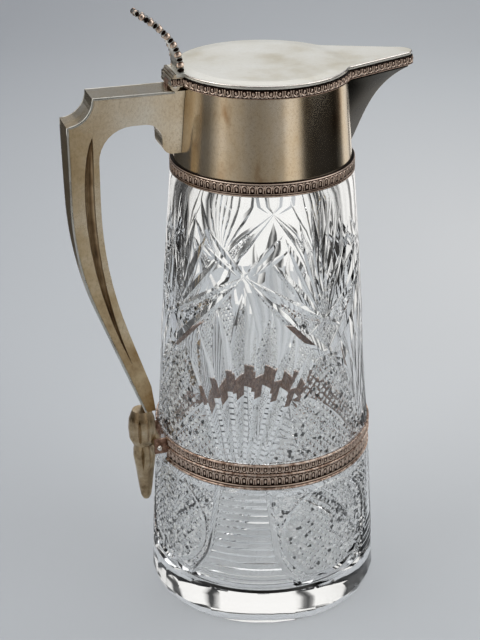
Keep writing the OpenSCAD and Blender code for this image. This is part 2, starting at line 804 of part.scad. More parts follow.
// Foot of the handle, husks and clamp
stem_in = 1.3;
stem_t = 3;
stem_x = [clamp_x + stem_in, clamp_x + stem_in + stem_t];
lug_t = 1.5;
lug_gap = 0.1;
lug_y = foot_w / 2 + lug_gap;

// The tongue that runs down from inside the handle to the barrel, larger all round by grow.
module tongue(grow) {
    translate([-stem_x[1] - grow, -tongue_t / 2 - grow, clamp_z])
        cube([stem_x[1] - stem_x[0] + 2 * grow, tongue_t + 2 * grow, handle_low_z + tongue_rise + grow - clamp_z]);
}

module foot_barrel(grow) {
    translate([-clamp_x, 0, clamp_z]) rotate([90, 0, 0])
        cylinder(h = foot_w + 2 * grow, r = barrel_foot_r + grow, center = true, $fn = 48);
}

module screw_bore(d) {
    translate([-clamp_x, 0, clamp_z]) rotate([90, 0, 0])
        cylinder(h = 2 * foot_w, d = d, center = true, $fn = 32);
}

module handle_foot() color([0.5, 0.42, 0.32]) {
    difference() {
        union() {
            tongue(0);
            foot_barrel(0);
        }
        screw_bore(screw_d + 2 * fit);
    }
}

husk_out = 6.4;
husk_x = clamp_x + husk_out;
husk_split_z = clamp_z - 1.9;
husk_up_h = 19.4;
husk_up_r = 7;
husk_low_h = 33;
husk_low_r = 5.8;
module husk_room() {
    tongue(fit);
    foot_barrel(fit);
    for (m = [0, 1]) mirror([0, m, 0]) translate([-clamp_x - lug_reach - fit, lug_y - fit, band_z])
        cube([20, lug_t + ball_r * 3, band_h + fit]);
    cylinder(h = handle_low_z, r = band_out_r + 0.3);
}

// Upright V cuts that part a husk's petals.
petals = 8;
petal_cut = 1.1;
module petal_cuts(r) {
    for (i = [0 : petals - 1]) rotate([0, 0, (i + 0.5) * 360 / petals]) translate([r, 0, -husk_low_h - 1])
        cylinder(h = husk_low_h + husk_up_h + 2, r = petal_cut, $fn = 4);
}

module husk_upper() color([0.6, 0.54, 0.44]) {
    difference() {
        translate([-husk_x, 0, husk_split_z]) rotate_extrude() polygon([for (p = [
            [0, 0], [0.71, 0], [0.94, 0.18], [1, 0.48], [0.94, 0.74], [0.77, 0.91], [0.66, 1], [0, 1]
        ]) [p[0] * husk_up_r, p[1] * husk_up_h]]);
        translate([-husk_x, 0, husk_split_z]) petal_cuts(husk_up_r);
        husk_room();
    }
}

module husk_lower() color([0.6, 0.54, 0.44]) {
    difference() {
        translate([-husk_x + 0.8, 0, husk_split_z - fit]) rotate_extrude() polygon([for (p = [
            [0, -1], [0.28, -1], [0.45, -0.94], [0.59, -0.79], [0.79, -0.48], [1, -0.21], [0.97, -0.09],
            [0.83, 0], [0, 0]
        ]) [p[0] * husk_low_r, p[1] * husk_low_h]]);
        translate([-husk_x + 0.8, 0, husk_split_z]) petal_cuts(husk_low_r);
        husk_room();
    }
}

lug_reach = 2.4;
module waist_strap() color([0.36, 0.28, 0.23]) {
    difference() {
        union() {
            translate([0, 0, band_z]) cylinder(h = band_h, r = strap_r + strap_t);
            for (m = [0, 1]) mirror([0, m, 0]) translate([-clamp_x - lug_reach, lug_y, clamp_z - 4])
                cube([clamp_x + lug_reach - strap_r + 1, lug_t, 8]);
        }
        translate([0, 0, band_z - 1]) cylinder(h = band_h + 2, r = strap_r);
        translate([-strap_r - 20, -lug_y, band_z - 1]) cube([30, 2 * lug_y, band_h + 2]);
        screw_bore(screw_d + 2 * fit);
    }
}

module waist_wire(z) {
    difference() {
        translate([0, 0, band_z + z]) rotate_extrude()
            translate([strap_r + strap_t + wire_r, 0]) circle(r = wire_r, $fn = 24);
        translate([-strap_r - 20, -lug_y - lug_t - 0.2, band_z - 1])
            cube([30, 2 * (lug_y + lug_t + 0.2), band_h + 2]);
    }
}
module waist_wire_upper() color([0.62, 0.5, 0.44]) waist_wire(band_h - wire_r);
module waist_wire_middle() color([0.62, 0.5, 0.44]) waist_wire(band_h * 0.6);
module waist_wire_lower() color([0.62, 0.5, 0.44]) waist_wire(wire_r);

ball_y = lug_y + lug_t + ball_r * 0.9;
module clamp_ball() {
    intersection() {
        translate([0, 0, ball_y]) sphere(r = ball_r, $fn = 32);
        translate([0, 0, lug_y + lug_t + fit]) cylinder(h = 3 * ball_r, r = 2 * ball_r);
    }
}

module clamp_screw() color([0.85, 0.82, 0.78]) {
    translate([-clamp_x, 0, clamp_z]) rotate([90, 0, 0]) {
        translate([0, 0, -ball_y]) cylinder(h = 2 * ball_y, d = screw_d, $fn = 32);
        clamp_ball();
    }
}

module clamp_nut() color([0.85, 0.82, 0.78]) {
    translate([-clamp_x, 0, clamp_z]) rotate([-90, 0, 0]) difference() {
        clamp_ball();
        cylinder(h = ball_y, d = screw_d, $fn = 32);
    }
}

glass_body();
neck_cement();
collar();
collar_moulding();
collar_bezel();
spout();
lid_plate();
lid_moulding();
lid_flange();
lid_hinge_block();
thumbpiece();
fixed_knuckle();
hinge_pin();
handle_spine();
handle_left_cheek();
handle_right_cheek();
handle_foot();
husk_upper();
husk_lower();
waist_strap();
waist_wire_upper();
waist_wire_middle();
waist_wire_lower();
clamp_screw();
clamp_nut();
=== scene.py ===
import math
import bpy
import bmesh
import numpy as np
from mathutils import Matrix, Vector


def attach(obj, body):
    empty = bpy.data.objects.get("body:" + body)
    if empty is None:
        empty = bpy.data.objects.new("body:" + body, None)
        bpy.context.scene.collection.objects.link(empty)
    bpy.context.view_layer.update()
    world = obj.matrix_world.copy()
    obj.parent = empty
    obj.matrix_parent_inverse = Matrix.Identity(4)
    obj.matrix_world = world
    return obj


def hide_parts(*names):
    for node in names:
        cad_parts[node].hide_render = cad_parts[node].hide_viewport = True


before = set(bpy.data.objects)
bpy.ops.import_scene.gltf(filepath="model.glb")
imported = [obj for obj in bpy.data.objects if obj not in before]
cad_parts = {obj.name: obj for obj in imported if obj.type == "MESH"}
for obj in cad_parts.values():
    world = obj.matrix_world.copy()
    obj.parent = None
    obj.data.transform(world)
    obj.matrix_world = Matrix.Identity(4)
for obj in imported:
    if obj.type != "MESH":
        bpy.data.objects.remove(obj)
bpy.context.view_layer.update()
MM = 0.001


# ---------------------------------------------------------------- materials
def node_tree(name):
    """A new material: itself, its nodes, its shader, the link maker and the object coordinates."""
    mat = bpy.data.materials.new(name)
    mat.use_nodes = True
    nt = mat.node_tree
    co = nt.nodes.new("ShaderNodeTexCoord")
    return mat, nt, nt.nodes["Principled BSDF"], nt.links.new, co.outputs["Object"]


def add(nt, kind, **values):
    """A new node. A name with _ in front is an input's, any other is a setting's."""
    n = nt.nodes.new(kind)
    for key, v in values.items():
        if key.startswith("_"):
            n.inputs[key[1:].replace("_", " ")].default_value = v
        else:
            setattr(n, key, v)
    return n


def calc(nt, operation, *values):
    """A maths node's output. Each value is a socket or a number."""
    n = add(nt, "ShaderNodeMath", operation=operation)
    for socket, v in zip(n.inputs, values):
        if isinstance(v, bpy.types.NodeSocket):
            nt.links.new(v, socket)
        else:
            socket.default_value = v
    return n.outputs[0]


def texture(nt, vector, kind="Noise", **values):
    n = add(nt, "ShaderNodeTex" + kind, **values)
    nt.links.new(vector, n.inputs["Vector"])
    return n


def spread(nt, source, lo, hi, low=0.0, high=1.0):
    """A value between low and high, spread from lo to hi."""
    n = add(nt, "ShaderNodeMapRange", _From_Min=low, _From_Max=high, _To_Min=lo, _To_Max=hi)
    nt.links.new(source, n.inputs["Value"])
    return n.outputs["Result"]


def stretched(nt, vector, scale, shift=(0, 0, 0)):
    n = add(nt, "ShaderNodeMapping", _Scale=scale, _Location=shift)
    nt.links.new(vector, n.inputs["Vector"])
    return n.outputs[0]


def ramp(nt, source, stops):
    r = nt.nodes.new("ShaderNodeValToRGB")
    e = r.color_ramp.elements
    while len(e) < len(stops):
        e.new(0.5)
    for i, (p, c) in enumerate(stops):
        e[i].position = p
        e[i].color = (*c, 1) if len(c) == 3 else c
    nt.links.new(source, r.inputs["Fac"])
    return r


def lin(r, g, b):
    """An sRGB colour, 0 to 255, as linear values."""
    def f(c):
        c /= 255
        return c / 12.92 if c <= 0.04045 else ((c + 0.055) / 1.055) ** 2.4
    return (f(r), f(g), f(b))


def wear(nt, b, base, fine, stops, grime, scratch):
    """Darkens the base colour with fine speckle and scratches the surface."""
    L = nt.links.new
    speck = ramp(nt, fine, stops)
    mix = add(nt, "ShaderNodeMix", data_type="RGBA", blend_type="MULTIPLY")
    mix.inputs["Factor"].default_value = grime
    L(base.outputs[0], mix.inputs["A"])
    L(speck.outputs[0], mix.inputs["B"])
    L(mix.outputs["Result"], b.inputs["Base Color"])
    b.inputs["Metallic"].default_value = 1.0
    bump = add(nt, "ShaderNodeBump", _Strength=scratch, _Distance=0.0002)
    L(fine, bump.inputs["Height"])
    L(bump.outputs["Normal"], b.inputs["Normal"])


def silver(name, stops, rough=(0.22, 0.42), scale=55.0, scratch=0.05, stretch=(1, 1, 1), grime=0.55):
    """Silver plate: a base tone that drifts through stops, fine speckle, and a worn roughness."""
    mat, nt, b, L, co = node_tree(name)
    big = texture(nt, stretched(nt, co, stretch), _Scale=scale, _Detail=4.0, _Roughness=0.6).outputs["Fac"]
    fine = texture(nt, co, _Scale=900.0, _Detail=3.0, _Roughness=0.7).outputs["Fac"]
    wear(nt, b, ramp(nt, big, stops), fine, [(0.30, (0.62, 0.58, 0.52)), (0.52, (1, 1, 1))], grime, scratch)
    L(spread(nt, big, *rough), b.inputs["Roughness"])
    return mat


LID = silver("lid_plate_metal", [(0.3, lin(208, 200, 180)), (0.5, lin(228, 225, 216)), (0.75, lin(234, 233, 228))],
             rough=(0.44, 0.56), scale=28, scratch=0.04, grime=0.12)
COLLAR = silver("collar_metal", [(0.32, lin(160, 122, 82)), (0.46, lin(208, 188, 158)), (0.8, lin(224, 214, 198))],
                rough=(0.10, 0.22), scale=45, stretch=(1, 1, 0.5), scratch=0.08, grime=0.4)


def handle_metal():
    """Plate, paler towards the top and warmer and darker lower down the grip, with brown patches and fine lengthwise
    streaks.
    """
    mat, nt, b, L, co = node_tree("handle_metal")
    sep = add(nt, "ShaderNodeSeparateXYZ")
    L(co, sep.inputs[0])
    up = spread(nt, sep.outputs["Z"], 0.0, 1.0, 0.10, 0.27)
    patch = texture(nt, co, _Scale=24.0, _Detail=4.0, _Roughness=0.55).outputs["Fac"]
    tone = calc(nt, "MULTIPLY_ADD", patch, 1.5, calc(nt, "MULTIPLY_ADD", up, 0.42, -0.48))
    base = ramp(nt, tone, [(0.0, lin(96, 70, 42)), (0.28, lin(152, 122, 82)), (0.5, lin(202, 180, 144)),
                           (0.76, lin(226, 212, 188)), (1.0, lin(238, 232, 218))])
    streak = texture(nt, stretched(nt, co, (1.0, 1.0, 0.7)), _Scale=900.0, _Detail=3.0, _Roughness=0.7)
    wear(nt, b, base, streak.outputs["Fac"], [(0.32, (0.60, 0.56, 0.50)), (0.55, (1, 1, 1))], 0.45, 0.10)
    L(spread(nt, tone, 0.38, 0.20), b.inputs["Roughness"])
    return mat


HANDLE = handle_metal()
SMOOTH = silver("smooth_metal", [(0.3, lin(160, 156, 146)), (0.5, lin(190, 188, 180)), (0.75, lin(212, 210, 204))],
                rough=(0.22, 0.34), scale=60, scratch=0.06, grime=0.3)
REED = silver("reed_metal", [(0.3, lin(150, 132, 108)), (0.5, lin(200, 186, 164)), (0.75, lin(226, 218, 204))],
              rough=(0.18, 0.32), scale=120, scratch=0.12)
DARK = silver("dark_relief_metal", [(0.3, lin(96, 72, 58)), (0.55, lin(150, 118, 100)), (0.8, lin(206, 178, 160))],
              rough=(0.3, 0.5), scale=400, scratch=0.3)
LEAF = silver("leaf_metal", [(0.3, lin(120, 100, 74)), (0.5, lin(178, 158, 128)), (0.75, lin(206, 192, 168))],
              rough=(0.26, 0.44), scale=120, scratch=0.12)
WIRE = silver("wire_metal", [(0.35, lin(120, 92, 76)), (0.5, lin(206, 180, 162)), (0.7, lin(238, 222, 210))],
              rough=(0.2, 0.34), scale=420, scratch=0.2)
BRIGHT = silver("bright_metal", [(0.3, lin(210, 200, 190)), (0.7, lin(242, 238, 232))], rough=(0.12, 0.24), scale=200)


def glass_material():
    """Clear crystal, tinted greyer towards the bottoms of the cuts. In the hatched fields single facets are painted
    near black as dark reflections, and others are made partly diffuse white as painted glints, as the attributes
    relief and hatch tell."""
    mat, nt, b, L, co = node_tree("cut_crystal")
    deep = add(nt, "ShaderNodeAttribute", attribute_name="relief").outputs["Fac"]
    hatch = add(nt, "ShaderNodeAttribute", attribute_name="hatch").outputs["Fac"]
    haze = texture(nt, co, _Scale=160.0, _Detail=2.0).outputs["Fac"]
    tint = ramp(nt, deep, [(0.5, (0.99, 0.995, 0.995)), (0.9, (0.93, 0.94, 0.935)), (1.0, (0.72, 0.72, 0.71))])
    one = add(nt, "ShaderNodeSeparateColor")
    L(texture(nt, co, "Voronoi", _Scale=600.0).outputs["Color"], one.inputs[0])
    # Painted dark reflections: single cells of the hatched fields get a near-black colour.
    dark_reflection_cells = ramp(nt, one.outputs[0], [(0.0, (0.03, 0.03, 0.03)), (0.055, (1, 1, 1)), (1.0, (1, 1, 1))])
    dark_reflection_cells.color_ramp.interpolation = "CONSTANT"
    dim = add(nt, "ShaderNodeMix", data_type="RGBA", blend_type="MULTIPLY")
    L(hatch, dim.inputs["Factor"])
    L(tint.outputs[0], dim.inputs["A"])
    L(dark_reflection_cells.outputs[0], dim.inputs["B"])
    L(dim.outputs["Result"], b.inputs["Base Color"])
    # Painted glints: other single cells of the hatched fields let less light through and show white.
    glint_cells = calc(nt, "MULTIPLY", calc(nt, "GREATER_THAN", one.outputs[0], 0.78), hatch)
    L(spread(nt, glint_cells, 1.0, 0.40), b.inputs["Transmission Weight"])
    L(spread(nt, haze, 0.0, 0.03), b.inputs["Roughness"])
    b.inputs["IOR"].default_value = 1.5
    return mat


GLASS = glass_material()


def cement_material():
    mat, nt, b, L, co = node_tree("cement")
    grain = texture(nt, co, _Scale=500.0, _Detail=4.0).outputs["Fac"]
    L(ramp(nt, grain, [(0.3, lin(196, 190, 174)), (0.7, lin(226, 222, 210))]).outputs[0], b.inputs["Base Color"])
    b.inputs["Roughness"].default_value = 0.9
    return mat


CEMENT = cement_material()


def paint(obj, mat):
    obj.data.materials.clear()
    obj.data.materials.append(mat)


WEARS = {
    "glass_body": GLASS, "neck_cement": CEMENT, "collar": COLLAR, "collar_moulding": DARK,
    "collar_bezel": COLLAR, "spout": COLLAR, "lid_plate": LID, "lid_moulding": DARK, "lid_flange": LID,
    "lid_hinge_block": REED, "thumbpiece": SMOOTH, "fixed_knuckle": DARK, "hinge_pin": BRIGHT,
    "handle_spine": HANDLE, "handle_left_cheek": HANDLE, "handle_right_cheek": HANDLE,
    "handle_foot": LEAF, "husk_upper": LEAF, "husk_lower": LEAF, "waist_strap": DARK,
    "waist_wire_upper": WIRE, "waist_wire_middle": WIRE, "waist_wire_lower": WIRE,
    "clamp_screw": BRIGHT, "clamp_nut": BRIGHT,
}
for name, mat in WEARS.items():
    paint(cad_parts[name], mat)


# ---------------------------------------------------------------- making pieces
def new_object(name, mesh, mat):
    obj = bpy.data.objects.new(name, mesh)
    bpy.context.scene.collection.objects.link(obj)
    mesh.materials.append(mat)
    return obj


def tell(mesh, name, values):
    """Keeps a number for each point, which the materials read."""
    mesh.attributes.new(name, "FLOAT", "POINT").data.foreach_set("value", np.asarray(values, np.float32).ravel())


def smooth(mesh, sharp):
    """Smooth shading, with hard edges above an angle in degrees."""
    mesh.polygons.foreach_set("use_smooth", [True] * len(mesh.polygons))
    mesh.set_sharp_from_angle(angle=math.radians(sharp))


def grid(rows, cols, start=0, ring=False):
    """Quads between the points of a grid, stored row by row. In a ring, each row closes on itself."""
    pairs = [(i, (i + 1) % cols) for i in range(cols if ring else cols - 1)]
    return [(p + i, p + j, p + cols + j, p + cols + i)
            for p in range(start, start + (rows - 1) * cols, cols) for i, j in pairs]


def new_piece(name, verts, faces, body, mat, tone=None, sharp=50, replaces=()):
    """A closed mesh from points in mm, attached to its body."""
    mesh = bpy.data.meshes.new(name)
    mesh.from_pydata((np.asarray(verts, float) * MM).tolist(), [], faces)
    if tone is not None:
        tell(mesh, "relief", tone)
    bm = bmesh.new()
    bm.from_mesh(mesh)
    bmesh.ops.recalc_face_normals(bm, faces=bm.faces)
    bm.to_mesh(mesh)
    bm.free()
    smooth(mesh, sharp)
    obj = new_object(name, mesh, mat)
    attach(obj, body)
    if replaces:
        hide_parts(*replaces)
    return obj


# ---------------------------------------------------------------- cut glass
# The wall is cut on a flat map: u runs round the jug, v runs along the profile. Cuts are V grooves.
R_MAP = 52.0
PERIOD = 2 * math.pi * R_MAP / 4
TURN = 2 * math.pi * R_MAP
PER_DEG = math.radians(1) * R_MAP
SHOULDER_Z, BASE_R, FOOT_R, BEVEL, SHOULDER_R, BOW = 227.0, 60.0, 58.4, 4.5, 44.4, 0.9
BAND_LOW, BAND_HIGH = 77.95, 92.05


def glass_r(z):
    t = (np.asarray(z, float) - BEVEL) / (SHOULDER_Z - BEVEL)
    return BASE_R + (SHOULDER_R - BASE_R) * t + BOW * 4 * t * (1 - t)


CHANNEL_R = float(glass_r(78.0)) - 2.0


WALL, BORE_R, NECK_R, NECK_TOP, GLASS_FLOOR, CENTRE_R = 8.0, 35.5, 41.2, 245.0, 14.0, 3.0
CUT_FULL = 1.35  # depth in mm at which the glass material shows a cut as deepest


def profile():
    """Rows of (v, r, z), and how much v is ahead of z above the band."""
    rows = [(-60.0, CENTRE_R, 0.0), (-4.7, FOOT_R - 0.1, 0.0), (-4.4, FOOT_R + 0.1, 0.25)]
    for z in np.arange(BEVEL, BAND_LOW, 6.0):
        rows.append((z - BEVEL, float(glass_r(z)), z))
    v = BAND_LOW - BEVEL
    rows.append((v, float(glass_r(BAND_LOW)), BAND_LOW))
    rows.append((v + 2, CHANNEL_R, BAND_LOW))
    rows.append((v + 2 + BAND_HIGH - BAND_LOW, CHANNEL_R, BAND_HIGH))
    v += 4 + BAND_HIGH - BAND_LOW
    rows.append((v, float(glass_r(BAND_HIGH)), BAND_HIGH))
    up = v - BAND_HIGH
    for z in np.arange(96.0, SHOULDER_Z, 6.0):
        rows.append((z + up, float(glass_r(z)), z))
    v = SHOULDER_Z + up
    tail = [(SHOULDER_R, SHOULDER_Z), (NECK_R, SHOULDER_Z), (NECK_R, NECK_TOP), (BORE_R + 0.2, NECK_TOP),
            (BORE_R, NECK_TOP - 0.2), (BORE_R, 225.0), (36.0, 220.0), (37.4, 213.0)]
    tail += [(float(glass_r(z)) - WALL, z) for z in (190.0, 165.0, 140.0, 115.0, 90.0, 65.0, 42.0, 27.0)]
    inner = float(glass_r(GLASS_FLOOR)) - WALL
    tail += [(inner - 10 + 10 * math.cos(a), 24 - 10 * math.sin(a)) for a in np.radians([15, 30, 45, 60, 75, 90])]
    tail += [(20.0, GLASS_FLOOR), (CENTRE_R, GLASS_FLOOR)]
    last = None
    for r, z in tail:
        if last is not None:
            v += math.hypot(r - last[0], z - last[1])
        rows.append((v, r, z))
        last = (r, z)
    return np.array(rows, float), up


PROFILE, UP = profile()


def to_v(z):
    z = np.asarray(z, float)
    return np.where(z < 85, z - BEVEL, z + UP)


class Pattern:
    """V cuts of one mirrored period, x from the middle of a panel in mm on the map."""

    def __init__(self):
        self.leaves, self.grooves, self.fields, self.edges, self.peaks = [], [], [], [], []

    def leaf(self, a, b, w, root=0.15, peak=0.6, k=0.5, n=8):
        """A pointed cut from a to b, w half wide at its widest."""
        self.leaves.append((a[0], a[1], b[0], b[1], w, root, peak, k))
        a, b = np.array(a, float), np.array(b, float)
        d = b - a
        side = np.array([-d[1], d[0]]) / np.hypot(*d)
        s = np.linspace(0, 1, n + 1)
        half = self.width(s, w, root, peak)
        mid = a + s[:, None] * d
        for sign in (-1, 0, 1):
            self.edges.append(mid + sign * half[:, None] * side)

    @staticmethod
    def width(s, w, root, peak):
        rise = root + (1 - root) * np.sin(np.pi / 2 * np.clip(s / peak, 0, 1))
        fall = np.cos(np.pi / 2 * np.clip((s - peak) / (1 - peak), 0, 1))
        return w * np.where(s < peak, rise, fall)

    def groove(self, pts, w, k=0.6):
        """A cut of even width along a line of points."""
        pts = np.array(pts, float)
        for p, q in zip(pts[:-1], pts[1:]):
            self.grooves.append((*p, *q, w, k))
        t = np.gradient(pts, axis=0)
        side = np.stack([-t[:, 1], t[:, 0]], 1) / np.hypot(t[:, 0], t[:, 1])[:, None]
        for sign in (-1, 0, 1):
            self.edges.append(pts + sign * w * side)

    def field(self, inside, box, pitch, angles=(45, -45), k=0.6):
        """Crossed cuts that fill a shape. inside tells which points lie in it."""
        self.fields.append((inside, pitch, angles, k))
        x0, z0, x1, z1 = box
        reach = math.hypot(x1 - x0, z1 - z0)
        c = np.array([(x0 + x1) / 2, (z0 + z1) / 2])
        for ang in angles:
            d = np.array([math.cos(math.radians(ang)), math.sin(math.radians(ang))])
            nrm = np.array([-d[1], d[0]])
            c0 = float(c @ nrm)
            first = math.ceil((c0 - reach / 2) / pitch)
            for i in range(first, int((c0 + reach / 2) / pitch) + 1):
                t = np.arange(-reach / 2, reach / 2, 0.25)
                line = nrm * i * pitch + d * (t[:, None] + float(c @ d))
                ok = inside(line[:, 0], line[:, 1])
                cut = np.flatnonzero(np.diff(np.concatenate([[0], ok.astype(int), [0]])))
                for a, b in zip(cut[::2], cut[1::2]):
                    if b - a > 2:
                        self.edges.append(line[[a, b - 1]])

        # A peak stands in the middle of each cell between the first two families.
        a, b = (math.radians(t) for t in angles[:2]) if len(angles) > 1 else (0, 0)
        if a != b:
            m = np.array([[-math.sin(a), math.cos(a)], [-math.sin(b), math.cos(b)]])
            n = int(reach / pitch) + 2
            i, j = np.meshgrid(np.arange(-n, n) + 0.5, np.arange(-n, n) + 0.5)
            base = np.round(m @ c / pitch)
            grid = np.linalg.solve(m, pitch * np.stack([i.ravel() + base[0], j.ravel() + base[1]]))
            self.peaks.append(grid.T[inside(grid[0], grid[1])])

    def _depth(self, x, z, grow):
        d = np.zeros(len(x))
        for x0, z0, x1, z1, w, root, peak, k in self.leaves:
            L = math.hypot(x1 - x0, z1 - z0)
            ux, uz = (x1 - x0) / L, (z1 - z0) / L
            s = ((x - x0) * ux + (z - z0) * uz) / L
            t = np.abs((x - x0) * -uz + (z - z0) * ux)
            lim = grow / L
            ok = (s > -lim) & (s < 1 + lim) & (t < w + grow)
            if ok.any():
                half = self.width(np.clip(s[ok], 0, 1), w, root, peak)
                d[ok] = np.maximum(d[ok], k * (half + grow - t[ok]))
        for x0, z0, x1, z1, w, k in self.grooves:
            L2 = (x1 - x0) ** 2 + (z1 - z0) ** 2
            s = np.clip(((x - x0) * (x1 - x0) + (z - z0) * (z1 - z0)) / L2, 0, 1)
            t = np.hypot(x - x0 - s * (x1 - x0), z - z0 - s * (z1 - z0))
            d = np.maximum(d, k * (w + grow - t))
        for inside, pitch, angles, k in self.fields:
            ok = inside(x, z)
            if not ok.any():
                continue
            best = np.zeros(int(ok.sum()))
            for ang in angles:
                a = math.radians(ang)
                t = (-math.sin(a) * x[ok] + math.cos(a) * z[ok]) / pitch
                near = np.abs(t - np.round(t)) * pitch
                best = np.maximum(best, k * (pitch / 2 + grow - near))
            d[ok] = np.maximum(d[ok], best)
        return d

    def depth(self, u, z, grow=0.0):
        x = np.abs((u + PERIOD / 2) % PERIOD - PERIOD / 2)
        d = self._depth(x, z, grow)
        d = np.maximum(d, self._depth(-x, z, grow))
        d = np.maximum(d, self._depth(PERIOD - x, z, grow))
        return np.maximum(d, 0)


def poly_test(pts):
    pts = np.array(pts, float)

    def inside(x, z):
        x, z = np.asarray(x, float), np.asarray(z, float)
        hit = np.zeros(x.shape, bool)
        for (ax, az), (bx, bz) in zip(pts, np.roll(pts, -1, axis=0)):
            cross = (az > z) != (bz > z)
            at = (bx - ax) * (z - az) / np.where(bz == az, 1e-9, bz - az) + ax
            hit ^= cross & (x < at)
        return hit
    return inside


def deg(pts):
    return [(x * PER_DEG, z) for x, z in pts]


def bend(pts, n):
    """A smooth line of n steps through the points."""
    p = np.array(pts, float)
    t = np.concatenate([[0], np.cumsum(np.hypot(*np.diff(p, axis=0).T))])
    q = np.linspace(0, t[-1], n + 1)
    m = np.gradient(p, t, axis=0)
    i = np.clip(np.searchsorted(t, q, side="right") - 1, 0, len(p) - 2)
    h = (t[i + 1] - t[i])[:, None]
    s = ((q - t[i]) / (t[i + 1] - t[i]))[:, None]
    return ((2 * s ** 3 - 3 * s ** 2 + 1) * p[i] + (s ** 3 - 2 * s ** 2 + s) * h * m[i]
            + (3 * s ** 2 - 2 * s ** 3) * p[i + 1] + (s ** 3 - s ** 2) * h * m[i + 1])


FLAT_TOP = 18.9
APEX = (0.0, 188.8)
NODE = (45.0, 163.5)


def cut_pattern():
    P = Pattern()
    ax, az = APEX
    # Tall leaves that rise out of the band and end under the arch.
    root_z, spread = 68.0, 0.131
    for i in range(0, 4):
        top = (185.8 + 9.5 * i) / (1 + 0.1398 * i) - (2 if i == 0 else 0)
        low = 88.0
        x0, x1 = i * spread * (low - root_z), i * spread * (top - root_z)
        w = spread / 2 * (top - 26 - root_z)
        P.leaf((x0, low), (x1, top), w, root=spread / 2 * (low - root_z) / w, peak=(top - 26 - low) / (top - low),
               k=0.42, n=12)
    # Arms of the arch, from its apex out over the node.
    P.leaf((0.2, az), (57 * PER_DEG, az - 57 * 0.562), 2.3, root=0.1, peak=0.72, k=0.5, n=14)
    P.leaf((0.2, az - 0.6), (60 * PER_DEG, az - 60 * 0.968), 2.7, root=0.1, peak=0.6, k=0.5, n=14)
    # Short arms above the apex.
    P.leaf((0.2, az + 0.4), (21 * PER_DEG, 209), 1.7, root=0.15, peak=0.5, k=0.5)
    P.leaf((4 * PER_DEG, az + 0.2), (25 * PER_DEG, 202), 1.5, root=0.1, peak=0.5, k=0.5)
    # Fan over the node.
    nx, nz = NODE[0] * PER_DEG, NODE[1] + 1.0
    for off, tip, w in ((0, 224.5, 2.6), (7.5, 221, 2.4), (15, 214.5, 2.4), (23, 207, 2.4), (32, 197, 2.3),
                        (38, 186, 1.6)):
        for sign in ((1,) if off == 0 else (-1, 1)):
            P.leaf((nx + sign * off * 0.06 * PER_DEG, nz), (nx + sign * off * PER_DEG, tip), w, root=0.12, peak=0.55,
                   k=0.62, n=8)
    # Hatched wedge between the arms.
    wedge = deg([(17, 176.5), (37, 165.6), (33.5, 160.2), (17, 175)])
    P.field(poly_test(wedge), (14, 158, 35, 178), 2.1, k=0.8)
    # Hobnail field between the tall leaves.
    half = [(12.9, 92.4), (17.5, 101.5), (25.0, 117), (31.0, 129), (35.0, 137), (38.5, 143.5), (45, 140.5)]
    hob = deg(half + [(90 - x, z) for x, z in half[::-1][1:]])
    P.field(poly_test(hob), (11, 92, 72, 145), 2.8, angles=(50, -50), k=0.95)
    # Lower panels: a ladder under each apex, an oval between two ladders.
    rail = bend(deg([(12.4, 77.9), (14.4, 58), (18.7, 35), (27, 22)]), 14)
    P.groove(rail, 1.3, k=0.7)
    for z in np.arange(74.6, 23, -3.9):
        x = float(np.interp(z, rail[::-1, 1], rail[::-1, 0])) - 1.5
        P.groove([(t, z) for t in np.linspace(0, x, 7)], 1.45, k=0.55)
    cx, cz, ea, eb = 45 * PER_DEG, 50.0, 23.0, 25.0

    def ring(grow):
        a = np.radians(np.arange(0, 361, 9))
        return np.stack([cx + (ea + grow) * np.cos(a), cz + (eb + grow) * np.sin(a)], 1)

    def in_oval(x, z, grow=0.0):
        return ((x - cx) / (ea + grow)) ** 2 + ((z - cz) / (eb + grow)) ** 2 < 1
    P.groove(ring(0.0), 1.3, k=0.7)
    P.field(lambda x, z: in_oval(x, z, -1.2), (17, 24, 65, 76), 2.8, k=0.95)
    side = np.concatenate([rail + [1.6, 0], (rail * [-1, 1] + [PERIOD - 1.6, 0])[::-1]])
    side = side[(side[:, 1] < 77.4) & (side[:, 1] > 22.5)]
    web = poly_test(side)
    P.field(lambda x, z: web(x, z) & ~in_oval(x, z, 1.6), (12, 22, 70, 78), 2.3, k=0.85)
    # Ring cut and flutes round the foot.
    P.groove([(t, 20.2) for t in np.linspace(0, PERIOD / 2, 12)], 1.3, k=0.6)
    for i in range(0, 5):
        x = PERIOD / 9 * (i + 0.5)
        P.edges.append(np.array([(x, BEVEL), (x, FLAT_TOP)]))
    return P


CENTRES = [-118.0, -22.0, 64.0, 146.0, 242.0]


def to_angle(u):
    """Map place to azimuth in radians. The panels are not quite evenly spaced."""
    return np.radians(np.interp(u / PERIOD, np.arange(5), CENTRES))


def clip(p, q, axis, lo, hi):
    """Where the line from p to q runs between lo and hi of one coordinate, as two shares, or None."""
    t0, t1 = 0.0, 1.0
    if p[axis] != q[axis]:
        ts = sorted(((lo - p[axis]) / (q[axis] - p[axis]), (hi - p[axis]) / (q[axis] - p[axis])))
        t0, t1 = max(t0, ts[0]), min(t1, ts[1])
    return (t0, t1) if t1 - t0 >= 1e-6 else None


